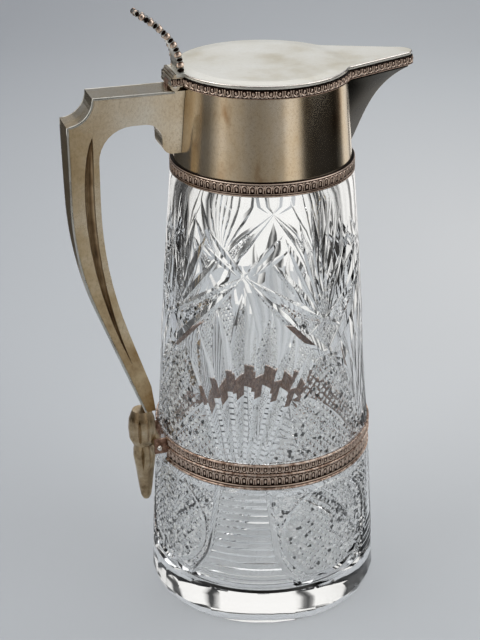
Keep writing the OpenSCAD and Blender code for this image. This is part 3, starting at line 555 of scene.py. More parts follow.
def build_glass():
    from mathutils.geometry import delaunay_2d_cdt
    P = cut_pattern()
    segs = set()

    def put(p, q):
        """One constrained edge, wrapped into the map and cut into short runs."""
        for shift in (-TURN, 0.0, TURN):
            a, b = (p[0] + shift, p[1]), (q[0] + shift, q[1])
            if max(a[0], b[0]) < 0 or min(a[0], b[0]) > TURN:
                continue
            if not (part := clip(a, b, 0, 0, TURN)):
                continue
            a2, b2 = ((a[0] + (b[0] - a[0]) * t, a[1] + (b[1] - a[1]) * t) for t in part)
            key = tuple(sorted(((round(a2[0], 3), round(a2[1], 3)), (round(b2[0], 3), round(b2[1], 3)))))
            if key[0] != key[1]:
                segs.add(key)

    for line in P.edges:
        line = np.asarray(line, float)
        out = [line[0]]
        for q in line[1:]:
            n = max(1, int(math.ceil(abs(q[0] - out[-1][0]) / 5.0)))
            p = out[-1]
            out += [p + (q - p) * (j + 1) / n for j in range(n)]
        for p, q in zip(out[:-1], out[1:]):
            for lo, hi in ((BEVEL, BAND_LOW - 0.02), (BAND_HIGH + 0.02, SHOULDER_Z - 0.05)):
                if max(p[1], q[1]) <= lo or min(p[1], q[1]) >= hi:
                    continue
                if not (part := clip(p, q, 1, lo, hi)):
                    continue
                a, b = (p + (q - p) * t for t in part)
                va, vb = float(to_v(a[1])), float(to_v(b[1]))
                for mirror in (1, -1):
                    for i in range(4):
                        put((mirror * a[0] + i * PERIOD, va), (mirror * b[0] + i * PERIOD, vb))
    index, verts, edges = {}, [], []

    def vert(p):
        if p not in index:
            index[p] = len(verts)
            verts.append(p)
        return index[p]

    for a, b in segs:
        edges.append((vert(a), vert(b)))
    for p in np.concatenate(P.peaks):
        v = float(to_v(p[1]))
        if not any(lo + 0.1 < p[1] < hi - 0.1 for lo, hi in ((BEVEL, BAND_LOW), (BAND_HIGH, SHOULDER_Z))):
            continue
        for mirror in (1, -1):
            for i in range(5):
                x = mirror * p[0] + i * PERIOD
                if 0.1 < x < TURN - 0.1:
                    vert((round(float(x), 3), round(v, 3)))
    # Profile rows, and grid points where nothing is cut.
    n_round = 96
    us = np.round(np.linspace(0, TURN, n_round + 1), 3)
    for i, row in enumerate(PROFILE):
        v = round(float(row[0]), 3)
        wall = (BEVEL + 0.5 < row[2] < SHOULDER_Z - 0.5) and row[0] < 226 and not BAND_LOW <= row[2] <= BAND_HIGH
        if row[0] < 0.1 and row[0] > -5:
            flat = [vert((round(float(x), 3), v)) for x in
                    [0.0] + [PERIOD / 9 * (j + 0.5) for j in range(36)] + [TURN]]
            edges += list(zip(flat[:-1], flat[1:]))
        elif wall and row[2] < FLAT_TOP:
            for x in [0.0] + [PERIOD / 9 * (j + 0.5) for j in range(36)] + [TURN]:
                vert((round(float(x), 3), v))
        elif wall:
            u = us[:-1] + (TURN / n_round / 2 if i % 2 else 0)
            z = np.full(len(u), row[2])
            free = P.depth(u, z, grow=1.2) <= 0
            for x in u[free]:
                if 0.5 < x < TURN - 0.5:
                    vert((round(float(x), 3), v))
            vert((0.0, v)), vert((round(TURN, 3), v))
        else:
            ids = [vert((float(x), v)) for x in us]
            edges += list(zip(ids[:-1], ids[1:]))
    co = [Vector(p) for p in verts]
    out = delaunay_2d_cdt(co, edges, [], 0, 1e-3)
    uv = np.array([tuple(p) for p in out[0]])
    tris = [tuple(f) for f in out[2]]
    u, v = uv[:, 0], uv[:, 1]
    r = np.interp(v, PROFILE[:, 0], PROFILE[:, 1])
    z = np.interp(v, PROFILE[:, 0], PROFILE[:, 2])
    lower = (v > 0.2) & (v < BAND_LOW - BEVEL - 0.01)
    upper = (v > BAND_HIGH + UP + 0.01) & (v < SHOULDER_Z + UP - 0.02)
    cut = np.zeros(len(u))
    on = lower | upper
    zz = np.where(lower, v + BEVEL, v - UP)
    cut[on] = P.depth(u[on], zz[on])
    r = r - cut
    hatched = Pattern()
    hatched.fields = P.fields
    hatch = np.zeros(len(u))
    hatch[on] = hatched.depth(u[on], zz[on], grow=1.0) > 0
    ang = to_angle(u)
    xyz = np.stack([r * np.cos(ang), r * np.sin(ang), z], 1) * MM
    me = bpy.data.meshes.new("cut_glass")
    me.from_pydata(xyz.tolist(), [], tris)
    tell(me, "relief", cut / CUT_FULL)
    tell(me, "hatch", hatch)
    bm = bmesh.new()
    bm.from_mesh(me)
    bmesh.ops.remove_doubles(bm, verts=bm.verts, dist=2e-6)
    for z in (0.0, GLASS_FLOOR):
        rim = [e for e in bm.edges if e.is_boundary and all(
            abs(w.co.z / MM - z) < 0.1 and math.hypot(w.co.x, w.co.y) / MM < CENTRE_R + 0.5 for w in e.verts)]
        bmesh.ops.triangle_fill(bm, use_beauty=True, edges=rim)
    bmesh.ops.recalc_face_normals(bm, faces=bm.faces)
    open_edges = sum(1 for e in bm.edges if not e.is_manifold)
    print("glass: verts", len(bm.verts), "faces", len(bm.faces), "open edges", open_edges)
    bm.to_mesh(me)
    bm.free()
    smooth(me, 9)
    ob = new_object("cut_glass", me, GLASS)
    ob.visible_shadow = False
    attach(ob, "jug")
    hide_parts("glass_body")


build_glass()


# ---------------------------------------------------------------- cast bands
def toned_metal(name, stops, rough=(0.4, 0.24), noise=0.7, scale=160.0, detail=4.0, worn=False):
    """Silver whose tone follows the piece's own relief attribute, broken up by noise.

    Where it is worn, its roughness follows the relief too, and else the noise.
    """
    mat, nt, b, L, co = node_tree(name)
    high = add(nt, "ShaderNodeAttribute", attribute_name="relief").outputs["Fac"]
    grain = texture(nt, co, _Scale=scale, _Detail=detail).outputs["Fac"]
    base = ramp(nt, calc(nt, "MULTIPLY_ADD", grain, noise, high), stops)
    L(base.outputs[0], b.inputs["Base Color"])
    b.inputs["Metallic"].default_value = 1.0
    L(spread(nt, high if worn else grain, *rough), b.inputs["Roughness"])
    return mat


# Oxidised silver: dark in the hollows, bright and slightly pink on the worn tops.
RELIEF = toned_metal("relief_metal", [(0.30, lin(24, 16, 12)), (0.55, lin(74, 54, 44)), (0.85, lin(172, 144, 126)),
                                      (1.0, lin(216, 196, 180))],
                     rough=(0.55, 0.26), noise=0.5, scale=700.0, detail=3.0, worn=True)


def ridge(d, w):
    """Rounded ridge of half width w about the line where d is 0."""
    t = np.clip(1 - np.abs(d) / w, 0, 1)
    return t * t * (3 - 2 * t)


def eggs(x, y, tall, pitch):
    """Egg and dart: a U shaped rim, open at the top, an egg in it, and a dart between two rims."""
    x = (x + pitch / 2) % pitch - pitch / 2
    bow = 0.36 * pitch
    low = bow + 0.12 * tall
    d = np.hypot(x, np.minimum(y - low, 0)) - bow
    rim = ridge(d, 0.15 * pitch) * np.clip((tall - y) / 0.25, 0, 1)
    egg = 1 - (x / (0.17 * pitch)) ** 2 - ((y - 0.58 * tall) / (0.30 * tall)) ** 2
    egg = np.sqrt(np.clip(egg, 0, 1)) * 0.95
    side = pitch / 2 - np.abs(x)
    dart = np.clip((0.17 * pitch * (1 - y / (0.55 * tall)) - side) / 0.25 + 0.5, 0, 1) * np.clip(y / 0.2, 0, 1)
    return np.maximum(np.maximum(rim, egg), dart)


def circle_path(r, n, a0=-180.0, a1=180.0):
    """Points, outward normals and lengths along a circle."""
    a = np.radians(np.linspace(a0, a1, n + 1))
    nrm = np.stack([np.cos(a), np.sin(a)], 1)
    return nrm * r, nrm, np.radians(a1 - a0) * r * np.linspace(0, 1, n + 1)


def cast_band(name, path, section, pattern, gain, body, replaces=()):
    """Sweeps a section along a path. Section rows are (out, z, share of the pattern, base tone)."""
    pts, nrm, s = path
    closed = np.allclose(pts[0], pts[-1])
    if closed:
        pts, nrm, s = pts[:-1], nrm[:-1], s[:-1]
    sec = np.array([row[:4] for row in section], float)
    n, m = len(pts), len(sec)
    z = np.broadcast_to(sec[:, 1], (n, m))
    h = pattern(np.broadcast_to(s[:, None], (n, m)), z) * sec[:, 2]
    out = sec[:, 0] + gain * h
    xyz = np.concatenate([pts[:, None, :] + nrm[:, None, :] * out[..., None], z[..., None]], 2).reshape(-1, 3)
    i = np.arange(n if closed else n - 1)[:, None]
    j = np.arange(m)[None, :]
    a, b = i * m + j, i * m + (j + 1) % m
    c, d = (i + 1) % n * m + (j + 1) % m, (i + 1) % n * m + j
    quads = np.stack([a, d, c, b], -1).reshape(-1, 4)
    faces = quads.tolist()
    if not closed:
        faces += [list(range(m)), list(range(n * m - 1, (n - 1) * m - 1, -1))]
    tone = np.clip(sec[:, 3] + (1 - sec[:, 3]) * h, 0, 1)
    new_piece(name, xyz, faces, body, RELIEF, tone=tone, replaces=replaces)


def rows(z0, z1, out, step=0.22, share=1.0, tone=0.0):
    """Rows of one flat field of the pattern."""
    n = max(2, int(round((z1 - z0) / step)))
    return [(out, z0 + (z1 - z0) * i / n, share if 0 < i < n else 0, tone) for i in range(n + 1)]


# Band round the foot of the collar: plain base, arches open downward, a bead above.
COLLAR_R, M0, M1 = 43.1, 227.05, 233.79
N_COLLAR = 76
collar_path = circle_path(COLLAR_R, N_COLLAR * 16)
section = [(0.0, M0, 0, 0.1), (1.25, M0, 0, 0.35), (1.6, M0 + 0.25, 0, 0.75), (1.6, M0 + 0.65, 0, 0.75),
           (1.25, M0 + 0.85, 0, 0.0), (1.2, M0 + 1.05, 0, 0.0), (1.45, M0 + 1.2, 0, 0.7), (1.45, M0 + 1.5, 0, 0.7),
           (1.15, M0 + 1.65, 0, 0.0)]
section += rows(M0 + 1.75, M0 + 5.55, 1.1)
section += [(1.1, M0 + 5.65, 0, 0.0), (1.4, M0 + 5.8, 0, 0.9), (1.5, M0 + 6.0, 0, 1.0), (1.4, M0 + 6.25, 0, 0.9),
            (1.0, M0 + 6.4, 0, 0.05), (0.7, M1 - 0.1, 0, 0.0), (0.7, M1, 0, 0.0), (0.0, M1, 0, 0.0)]
unit = 2 * math.pi * COLLAR_R / N_COLLAR
cast_band("collar_eggs", collar_path, section, lambda s, z: eggs(s, M0 + 5.6 - z, 3.9, unit), 0.45, "jug",
          replaces=("collar_moulding",))

# Two facing rows on the waist strap, with wires between.
STRAP_FIT, STRAP_T = 0.05, 0.9
STRAP_R = CHANNEL_R + STRAP_FIT + STRAP_T
W0 = 78.0
N_WAIST = 92
waist_path = circle_path(STRAP_R, N_WAIST * 16, -168.6, 168.6)
unit = 2 * math.pi * STRAP_R * (337.2 / 360) / N_WAIST
low = [(-0.3, W0 + 1.3, 0, 0.0), (0.05, W0 + 1.3, 0, 0.0), (0.5, W0 + 1.55, 0, 0.8), (0.6, W0 + 1.8, 0, 0.9),
       (0.5, W0 + 2.05, 0, 0.8), (0.12, W0 + 2.3, 0, 0.0)]
low += rows(W0 + 2.75, W0 + 7.3, 0.12) + [(0.1, W0 + 7.75, 0, 0.0), (-0.3, W0 + 7.75, 0, 0.0)]
cast_band("waist_row_lower", waist_path, low, lambda s, z: eggs(s, W0 + 7.35 - z, 4.6, unit), 0.5, "jug")
high = [(-0.3, W0 + 9.05, 0, 0.0), (0.05, W0 + 9.05, 0, 0.0)]
high += rows(W0 + 9.2, W0 + 12.6, 0.12) + [(0.1, W0 + 12.75, 0, 0.0), (-0.3, W0 + 12.75, 0, 0.0)]
cast_band("waist_row_upper", waist_path, high, lambda s, z: eggs(s, z - W0 - 9.15, 3.5, unit), 0.5, "jug")


# Band under the lid's edge.
LID_R, SPOUT_TIP, SPOUT_TIP_R, SPOUT_HALF, BLOCK_HALF = 40.7, 75.0, 5.5, 20.6, 9.1


def lid_path(step):
    """The lid's outline from one side of the hinge block round the spout to the other."""
    nose_x = SPOUT_TIP - SPOUT_TIP_R
    join_x = math.sqrt(LID_R ** 2 - SPOUT_HALF ** 2)
    reach = math.hypot(nose_x - join_x, SPOUT_HALF)
    turn = math.atan2(SPOUT_HALF, nose_x - join_x) - math.asin(SPOUT_TIP_R / reach)
    a_join = math.atan2(SPOUT_HALF, join_x)
    back = math.pi - math.asin(BLOCK_HALF / LID_R)
    half = []
    for a in np.arange(back, a_join + 0.02, -step / LID_R):
        half.append((LID_R * math.cos(a), LID_R * math.sin(a)))
    p = np.array([join_x, SPOUT_HALF])
    q = np.array([nose_x + SPOUT_TIP_R * math.sin(turn), SPOUT_TIP_R * math.cos(turn)])
    n = int(np.hypot(*(q - p)) / step)
    half += [tuple(p + (q - p) * i / n) for i in range(1, n)]
    for a in np.arange(math.pi / 2 - turn, 0, -step / SPOUT_TIP_R):
        half.append((nose_x + SPOUT_TIP_R * math.cos(a), SPOUT_TIP_R * math.sin(a)))
    half = np.array(half)
    full = np.concatenate([half, [[SPOUT_TIP, 0.0]], half[::-1] * [1, -1]])
    s = np.concatenate([[0], np.cumsum(np.hypot(*np.diff(full, axis=0).T))])
    q = np.linspace(0, s[-1], int(s[-1] / step) + 1)
    pts = np.stack([np.interp(q, s, full[:, 0]), np.interp(q, s, full[:, 1])], 1)
    t = np.gradient(pts, axis=0)
    for _ in range(4):
        t[1:-1] = (t[:-2] + t[1:-1] + t[2:]) / 3
    nrm = np.stack([-t[:, 1], t[:, 0]], 1) / np.hypot(t[:, 0], t[:, 1])[:, None]
    return pts, nrm, q


path = lid_path(0.24)
L0 = 271.95
N_LID = round(path[2][-1] / 3.8)
unit = path[2][-1] / N_LID
section = [(-2.2, L0, 0, 0.0), (0.95, L0, 0, 0.2), (1.2, L0 + 0.2, 0, 0.6), (1.05, L0 + 0.4, 0, 0.3)]
section += rows(L0 + 0.5, L0 + 3.7, 0.75)
section += [(0.55, L0 + 3.78, 0, 0.0), (0.0, L0 + 3.95, 0, 0.0), (-0.2, L0 + 4.35, 0, 0.0), (-2.2, L0 + 4.35, 0, 0.0)]
cast_band("lid_eggs", path, section, lambda s, z: eggs(s, z - L0 - 0.45, 3.3, unit), 0.45, "lid",
          replaces=("lid_moulding",))


# ---------------------------------------------------------------- metal pieces
def cubic(p, n):
    """n + 1 points along a cubic Bezier curve."""
    t = np.linspace(0, 1, n + 1)[:, None]
    p = np.array(p, float)
    return (1 - t) ** 3 * p[0] + 3 * (1 - t) ** 2 * t * p[1] + 3 * (1 - t) * t ** 2 * p[2] + t ** 3 * p[3]


# Painted shade for the handle's grooves: dark where the relief attribute is low.
GROOVE_SHADE = toned_metal("groove_painted_shade_metal", [(0.2, lin(60, 46, 32)), (0.5, lin(116, 94, 68)), (0.9, lin(170, 148, 118)),
                                      (1.0, lin(190, 174, 148))])
# The spout's metal carries painted light: dark reflections on its flanks and a highlight along its nose, by the relief
# attribute.
SPOUT_PAINTED_LIGHT = toned_metal("spout_painted_light_metal", [(0.15, lin(40, 36, 28)), (0.45, lin(64, 58, 46)), (0.75, lin(150, 142, 124)),
                                          (1.0, lin(222, 218, 208))], rough=(0.34, 0.2), noise=0.5, scale=60.0)

# Spout, skinned smoothly over level cuts from the collar's wall to a rounded nose.
COLLAR_TOP = 271.9
SPOUT_LOW, SPOUT_T = 234.4, 1.2


def collar_r(z):
    """The collar's outer radius, straight to M1 and tapering above it."""
    return COLLAR_R - 2.9 * np.maximum(0, z - 233.8) / (COLLAR_TOP - 233.8)


def spout_cut(x, z, inset, flank=12, nose=12):
    """Half of a level cut, from inside the collar's wall to the middle of the nose.

    The inner skin, where inset is more than 0, covers the cut edge of the collar.
    """
    h = (z - SPOUT_LOW) / (COLLAR_TOP - SPOUT_LOW)
    nose_r = 1.6 + (SPOUT_TIP_R - 2.9) * h ** 5
    w = 2.6 + (SPOUT_HALF - 3.8) * h ** 0.8 - inset * 1.5
    rn, cx = nose_r - inset, x - nose_r
    wall_x = math.sqrt(float(collar_r(z)) ** 2 - w * w)
    turn = min(math.radians(45), math.atan2(w, cx - wall_x) - math.asin(rn / math.hypot(cx - wall_x, w)))
    a = np.linspace(math.pi / 2 - turn, 0, nose + 1)
    arc = np.stack([cx + rn * np.cos(a), rn * np.sin(a)], 1)
    start = np.array([wall_x, w]) * (1 - (0.45 + 0.4 * inset) / float(collar_r(z)))
    line = start + (arc[0] - start) * np.linspace(0, 1, flank + 1)[:-1, None]
    return np.concatenate([line, arc])


def both_halves(half, z):
    ring = np.concatenate([half, half[-2::-1] * [1, -1]])
    return np.column_stack([ring, np.full(len(ring), z)])


def build_spout():
    end = (SPOUT_TIP - 0.6, COLLAR_TOP - 1.6)
    keel = cubic([(float(collar_r(SPOUT_LOW)) + 2, SPOUT_LOW), (end[0] - 22.4, SPOUT_LOW + 13),
                  (end[0] - 19.4, end[1] - 7.5), end], 56)
    keel = np.concatenate([keel, [[end[0], COLLAR_TOP - 0.8], [end[0], COLLAR_TOP]]])
    top_in = COLLAR_TOP - SPOUT_T
    outer, inner = [], []
    for x, z in keel:
        outer.append(both_halves(spout_cut(x, z, 0.0), z))
        zi = min(z, top_in)
        inner.append(both_halves(spout_cut(x, zi, SPOUT_T), zi + SPOUT_T))
    keep = [k for k in range(len(inner)) if k == 0 or inner[k][0, 2] > inner[k - 1][0, 2] + 1e-6]
    inner = [inner[k] for k in keep]
    n, a, b = len(outer[0]), len(outer), len(inner)
    verts = np.concatenate(outer + inner)
    off = a * n
    faces = grid(a, n) + grid(b, n, off)
    for i in range(n - 1):
        p, q = (a - 1) * n + i, off + (b - 1) * n + i
        faces.append((p, p + 1, q + 1, q))
    for i in (0, n - 1):
        for k in range(max(a, b) - 1):
            p0, p1 = min(k, a - 1), min(k + 1, a - 1)
            q0, q1 = min(k, b - 1), min(k + 1, b - 1)
            f = [p0 * n + i, p1 * n + i, off + q1 * n + i, off + q0 * n + i]
            f = [v for j, v in enumerate(f) if v not in f[:j]]
            faces.append(tuple(f))
    faces.append(tuple(range(n)))
    faces.append(tuple(range(off, off + n)))
    faces.append((0, n - 1, off + n - 1, off))
    i = np.minimum(np.arange(n), n - 1 - np.arange(n))
    # Painted dark reflections on the flanks and a painted highlight along the nose; the four lowest rings of the outer
    # skin get a middle tone.
    tone = np.tile(np.clip((i - 11) / 4.0, 0, 1) * 0.8, a + b)
    tone[:n * 4] = 0.5
    new_piece("spout_shell", verts, faces, "jug", SPOUT_PAINTED_LIGHT, tone=tone, sharp=45, replaces=("spout",))


build_spout()


def tube(name, pts, r, body, mat, sides=8, side=(0.0, 1.0, 0.0)):
    """A round wire through the points, closed at both ends. It never runs along the side direction."""
    pts = np.asarray(pts, float)
    r = np.broadcast_to(r, len(pts))
    t = np.gradient(pts, axis=0)
    t /= np.linalg.norm(t, axis=1)[:, None]
    u = np.cross(t, side)
    u /= np.linalg.norm(u, axis=1)[:, None]
    w = np.cross(t, u)
    a = np.arange(sides) * 2 * math.pi / sides
    ring = pts[:, None] + r[:, None, None] * (u[:, None] * np.cos(a)[:, None] + w[:, None] * np.sin(a)[:, None])
    faces = [tuple(range(sides)), tuple(range((len(pts) - 1) * sides, len(pts) * sides))]
    faces += grid(len(pts), sides, ring=True)
    new_piece(name, ring.reshape(-1, 3), faces, body, mat)


# A thin bright wire along the edge of the lid's plate.
RIM_Z, RIM_R = 277.55, 0.42
path, normals, _ = lid_path(0.8)
rim = path + normals * 0.05
tube("lid_rim", np.column_stack([rim, np.full(len(rim), RIM_Z)]), RIM_R, "lid", BRIGHT,
     side=(0.0, 0.0, 1.0))

# Handle: bright beads along its outer corners, and a dished floor in the long groove of each cheek, painted with shade
# darkest along its middle.
REACH, HANDLE_TOP, BEND_Z, LOW_Z, CLAMP_X, BEND_DROP, NOTCH_R = 95.2, 270.0, 220.0, 104.0, 57.993, 30.7, 12.3


def half_w(z):
    """Half the handle's width at a height."""
    t = np.clip((np.asarray(z, float) - 172) / 82, 0, 1)
    return (8.4 + 8.2 * t * t * (3 - 2 * t)) / 2


def outer_line(inset, n=14):
    """The handle's outer line in x and z, this far inside its edge, from the collar to the foot."""
    lean = math.atan((REACH - CLAMP_X - 5.3) / (BEND_Z - BEND_DROP - LOW_Z))
    bend_r = BEND_DROP / math.tan(lean / 2)
    rn = NOTCH_R + inset
    cut = math.asin(inset / rn)
    a = np.linspace(-cut, cut - math.pi / 2, n + 1)
    corner = np.stack([-REACH + rn * np.cos(a), HANDLE_TOP + rn * np.sin(a)], 1)
    a = np.linspace(math.pi, math.pi + lean, n + 1)
    bow = np.stack([-REACH + bend_r + (bend_r - inset) * np.cos(a), BEND_Z + (bend_r - inset) * np.sin(a)], 1)
    low = [bow[-1][0] + (bow[-1][1] - LOW_Z) * math.tan(lean), LOW_Z]
    arm = np.stack([np.linspace(-44.5, corner[0, 0], 9)[:-1], np.full(8, HANDLE_TOP - inset)], 1)
    side = np.stack([np.full(6, bow[0, 0]), np.linspace(corner[-1, 1], bow[0, 1], 8)[1:-1]], 1)
    return np.concatenate([arm, corner, side, bow, [low]])


def build_handle():
    """The beads, and the floors of the grooves between two curved edges."""
    line = outer_line(0.45)
    outer = cubic([(11.7, 32), (4.2, 20), (3.2, -35), (26.7, -89)], 60) + [-REACH, BEND_Z]
    inner = cubic([(11.7, 32), (12.7, 15), (6.7, -30), (26.7, -89)], 60) + [-REACH, BEND_Z]
    t = np.linspace(0, 1, 13)
    for side, label in ((-1, "near"), (1, "far")):
        y = side * (half_w(line[:, 1]) - 0.2)
        tube("handle_bead_" + label, np.stack([line[:, 0], y, line[:, 1]], 1), 0.62, "jug", SMOOTH)
        k = slice(1, -1)
        near, far = outer[k], inner[k]
        wide = np.hypot(*(far - near).T)
        p = near[:, None] + (far - near)[:, None] * (0.02 + 0.96 * t)[None, :, None]
        dish = np.sin(np.pi * t) ** 0.7
        deep = np.minimum(1.28, 0.5 * wide)[:, None] * dish[None, :]
        face = half_w(p[..., 1]) - 0.49
        front = np.stack([p[..., 0], side * (face - deep), p[..., 1]], -1)
        back = np.stack([p[..., 0], side * (face - 1.36 + 0 * deep), p[..., 1]], -1)
        n, m = p.shape[:2]
        verts = np.concatenate([front.reshape(-1, 3), back.reshape(-1, 3)])
        # Painted shade: the groove's floor is darkest along its middle, and its back faces are dark.
        tone = np.concatenate([1 - 0.95 * np.broadcast_to(dish, (n, m)).ravel(), np.zeros(n * m)])
        faces = grid(n, m)
        faces += [tuple(n * m + v for v in (a, d, c, b)) for a, b, c, d in faces]
        rim = [(0, j) for j in range(m)] + [(i, m - 1) for i in range(1, n)]
        rim += [(n - 1, j) for j in range(m - 2, -1, -1)] + [(i, 0) for i in range(n - 2, 0, -1)]
        ids = [i * m + j for i, j in rim]
        faces += [(p0, p1, n * m + p1, n * m + p0) for p0, p1 in zip(ids, ids[1:] + ids[:1])]
        new_piece("handle_groove_" + label, verts, faces, "jug", GROOVE_SHADE, tone=tone)


build_handle()


# Thumbpiece: a row of leafy beads round its edge.
def build_thumb():
    foot_x, foot_z, tall, reach, pitch = -40.8, 277.95, 29.0, 20.2, 2.45
    front = cubic([(1.5, 0), (1.2, 0.43 * tall), (-0.21 * reach, 0.68 * tall), (-0.92 * reach, 0.98 * tall)], 60)
    back = cubic([(-1.5, 0), (-1.6, 0.4 * tall), (-0.29 * reach, 0.6 * tall), (-0.98 * reach, 0.92 * tall)], 60)
    mid, thick = (front + back) / 2, np.hypot(*(front - back).T)
    edge = [(6 - h / 20 if h > 4 else 6, h) for h in np.arange(1.0, 24.0, 0.25)]
    edge += [(5 * math.cos(a), 24 + 5 * math.sin(a)) for a in np.radians(np.arange(2, 90, 3))]
    edge = np.array(edge + [(-y, h) for y, h in edge[::-1]])
    edge[:, 1] = np.minimum(edge[:, 1], mid[-1, 1])
    x = np.interp(edge[:, 1], mid[:, 1], mid[:, 0])
    pts = np.stack([x, edge[:, 0] * 0.97, edge[:, 1]], 1)
    s = np.concatenate([[0], np.cumsum(np.linalg.norm(np.diff(pts, axis=0), axis=1))])
    count = int(s[-1] / pitch)
    verts, faces, tone = [], [], []
    for i in range(count + 1):
        at = s[-1] * i / count
        c = np.array([np.interp(at, s, pts[:, k]) for k in range(3)])
        d = np.array([np.interp(min(at + 0.5, s[-1]), s, pts[:, k]) - np.interp(max(at - 0.5, 0), s, pts[:, k])
                      for k in range(3)])
        d /= np.linalg.norm(d)
        g = np.interp(c[2], mid[:, 1], np.arange(len(mid)))
        j = min(int(g), len(mid) - 2)
        across = front[j] - back[j]
        across = np.array([across[0], 0, across[1]]) / np.hypot(*across)
        across -= d * (across @ d)
        across /= np.linalg.norm(across)
        out = np.cross(d, across)
        half = (1.5 - 0.45 * (i % 2), thick[j] / 2 + 0.45 - 0.25 * (i % 2), 1.05 - 0.35 * (i % 2))
        rings, segs = 7, 10
        start = len(verts)
        for a in range(rings + 1):
            th = math.pi * a / rings
            for k in range(segs):
                ph = 2 * math.pi * k / segs
                u = (math.cos(th), math.sin(th) * math.cos(ph), math.sin(th) * math.sin(ph))
                v = c + d * half[0] * u[0] + across * half[1] * u[1] + out * half[2] * u[2]
                verts.append(v + [foot_x, 0, foot_z])
                tone.append(1.0 - 1.3 * abs(u[0]) ** 2 if i % 2 == 0 else 0.0)
        faces += grid(rings + 1, segs, start, ring=True)
    # Merging the rings' ends at the poles of the beads leaves closed shapes.
    ob = new_piece("thumb_beads", verts, faces, "lid", RELIEF, tone=np.clip(tone, 0, 1), sharp=80)
    bm = bmesh.new()
    bm.from_mesh(ob.data)
    bmesh.ops.remove_doubles(bm, verts=bm.verts, dist=1e-6)
    bmesh.ops.dissolve_degenerate(bm, edges=bm.edges, dist=1e-7)
    bm.to_mesh(ob.data)
    bm.free()


build_thumb()

# Ends of the hinge block: two arches of the lid's band on each.
for side, label in ((-1, "near"), (1, "far")):
    x = np.linspace(-46.2, -39.4, 40)
    pts = np.stack([x, np.full(40, side * 8.95)], 1)
    nrm = np.tile([0.0, float(side)], (40, 1))
    cast_band("block_end_" + label, (pts, nrm, x - x[0]),
              [(-0.3, L0 + 0.5, 0, 0.0), (0.05, L0 + 0.5, 0, 0.3)] + rows(L0 + 0.6, L0 + 3.9, 0.05)
              + [(0.05, L0 + 4.0, 0, 0.3), (-0.3, L0 + 4.0, 0, 0.0)],
              lambda s, z: eggs(s, z - L0 - 0.55, 3.3, 3.4), 0.4, "lid")


# ---------------------------------------------------------------- camera
AZ = math.radians(18.0)
DISTANCE, HEIGHT, PITCH = 0.6527, 0.4552, math.radians(25.46)
PHOTO_W, PHOTO_H, FOCAL, CENTRE_X = 480, 640, 1426, 262.12  # pixels
cam_data = bpy.data.cameras.new("camera")
cam = bpy.data.objects.new("camera", cam_data)
bpy.context.scene.collection.objects.link(cam)
cam.location = (-DISTANCE * math.sin(AZ), -DISTANCE * math.cos(AZ), HEIGHT)
cam.rotation_euler = (math.pi / 2 - PITCH, 0, -AZ)
cam_data.sensor_fit = "VERTICAL"
cam_data.angle_y = 2 * math.atan(PHOTO_H / 2 / FOCAL)
cam_data.shift_x = (PHOTO_W / 2 - CENTRE_X) / PHOTO_H
cam_data.clip_start = 0.01
bpy.context.scene.camera = cam


# ---------------------------------------------------------------- stage
# Centre and spread of the floor's painted pool of light.
LIGHT_POOL_SHIFT, LIGHT_POOL_SCALE = (-0.30, -0.315, 0), (1.5, 0.75, 0)


def sweep():
    """Floor that curves up into a backdrop, away from the camera. Its colour carries a painted pool of light, lightest
    to the right.
    """
    mat, nt, b, L, co = node_tree("floor_painted_light")
    light_pool = texture(nt, stretched(nt, co, LIGHT_POOL_SCALE, LIGHT_POOL_SHIFT), "Gradient", gradient_type="SPHERICAL")
    L(ramp(nt, light_pool.outputs["Fac"], FLOOR_LIGHT_POOL).outputs[0], b.inputs["Base Color"])
    b.inputs["Roughness"].default_value = 0.85
    b.inputs["Specular IOR Level"].default_value = 0.2
    prof = [(-6.0, 0.0), (1.1, 0.0)]
    prof += [(1.1 + 0.7 * math.sin(a), 0.7 - 0.7 * math.cos(a)) for a in [math.pi / 2 * i / 12 for i in range(1, 13)]]
    prof += [(1.8, 2.6)]
    verts = [(x, y, z - 0.0002) for y, z in prof for x in (-5.0, 5.0)]
    faces = [(2 * i, 2 * i + 1, 2 * i + 3, 2 * i + 2) for i in range(len(prof) - 1)]
    me = bpy.data.meshes.new("floor")
    me.from_pydata(verts, [], faces)
    me.polygons.foreach_set("use_smooth", [True] * len(faces))
    ob = new_object("floor", me, mat)
    ob.rotation_euler = (0, 0, -AZ)


# Painted pool of light on the floor, from its darkest edge to its lightest middle.
FLOOR_LIGHT_POOL = [(0.0, lin(164, 167, 172)), (0.3, lin(177, 180, 184)), (0.6, lin(190, 193, 196)), (1.0, lin(206, 207, 208))]
sweep()


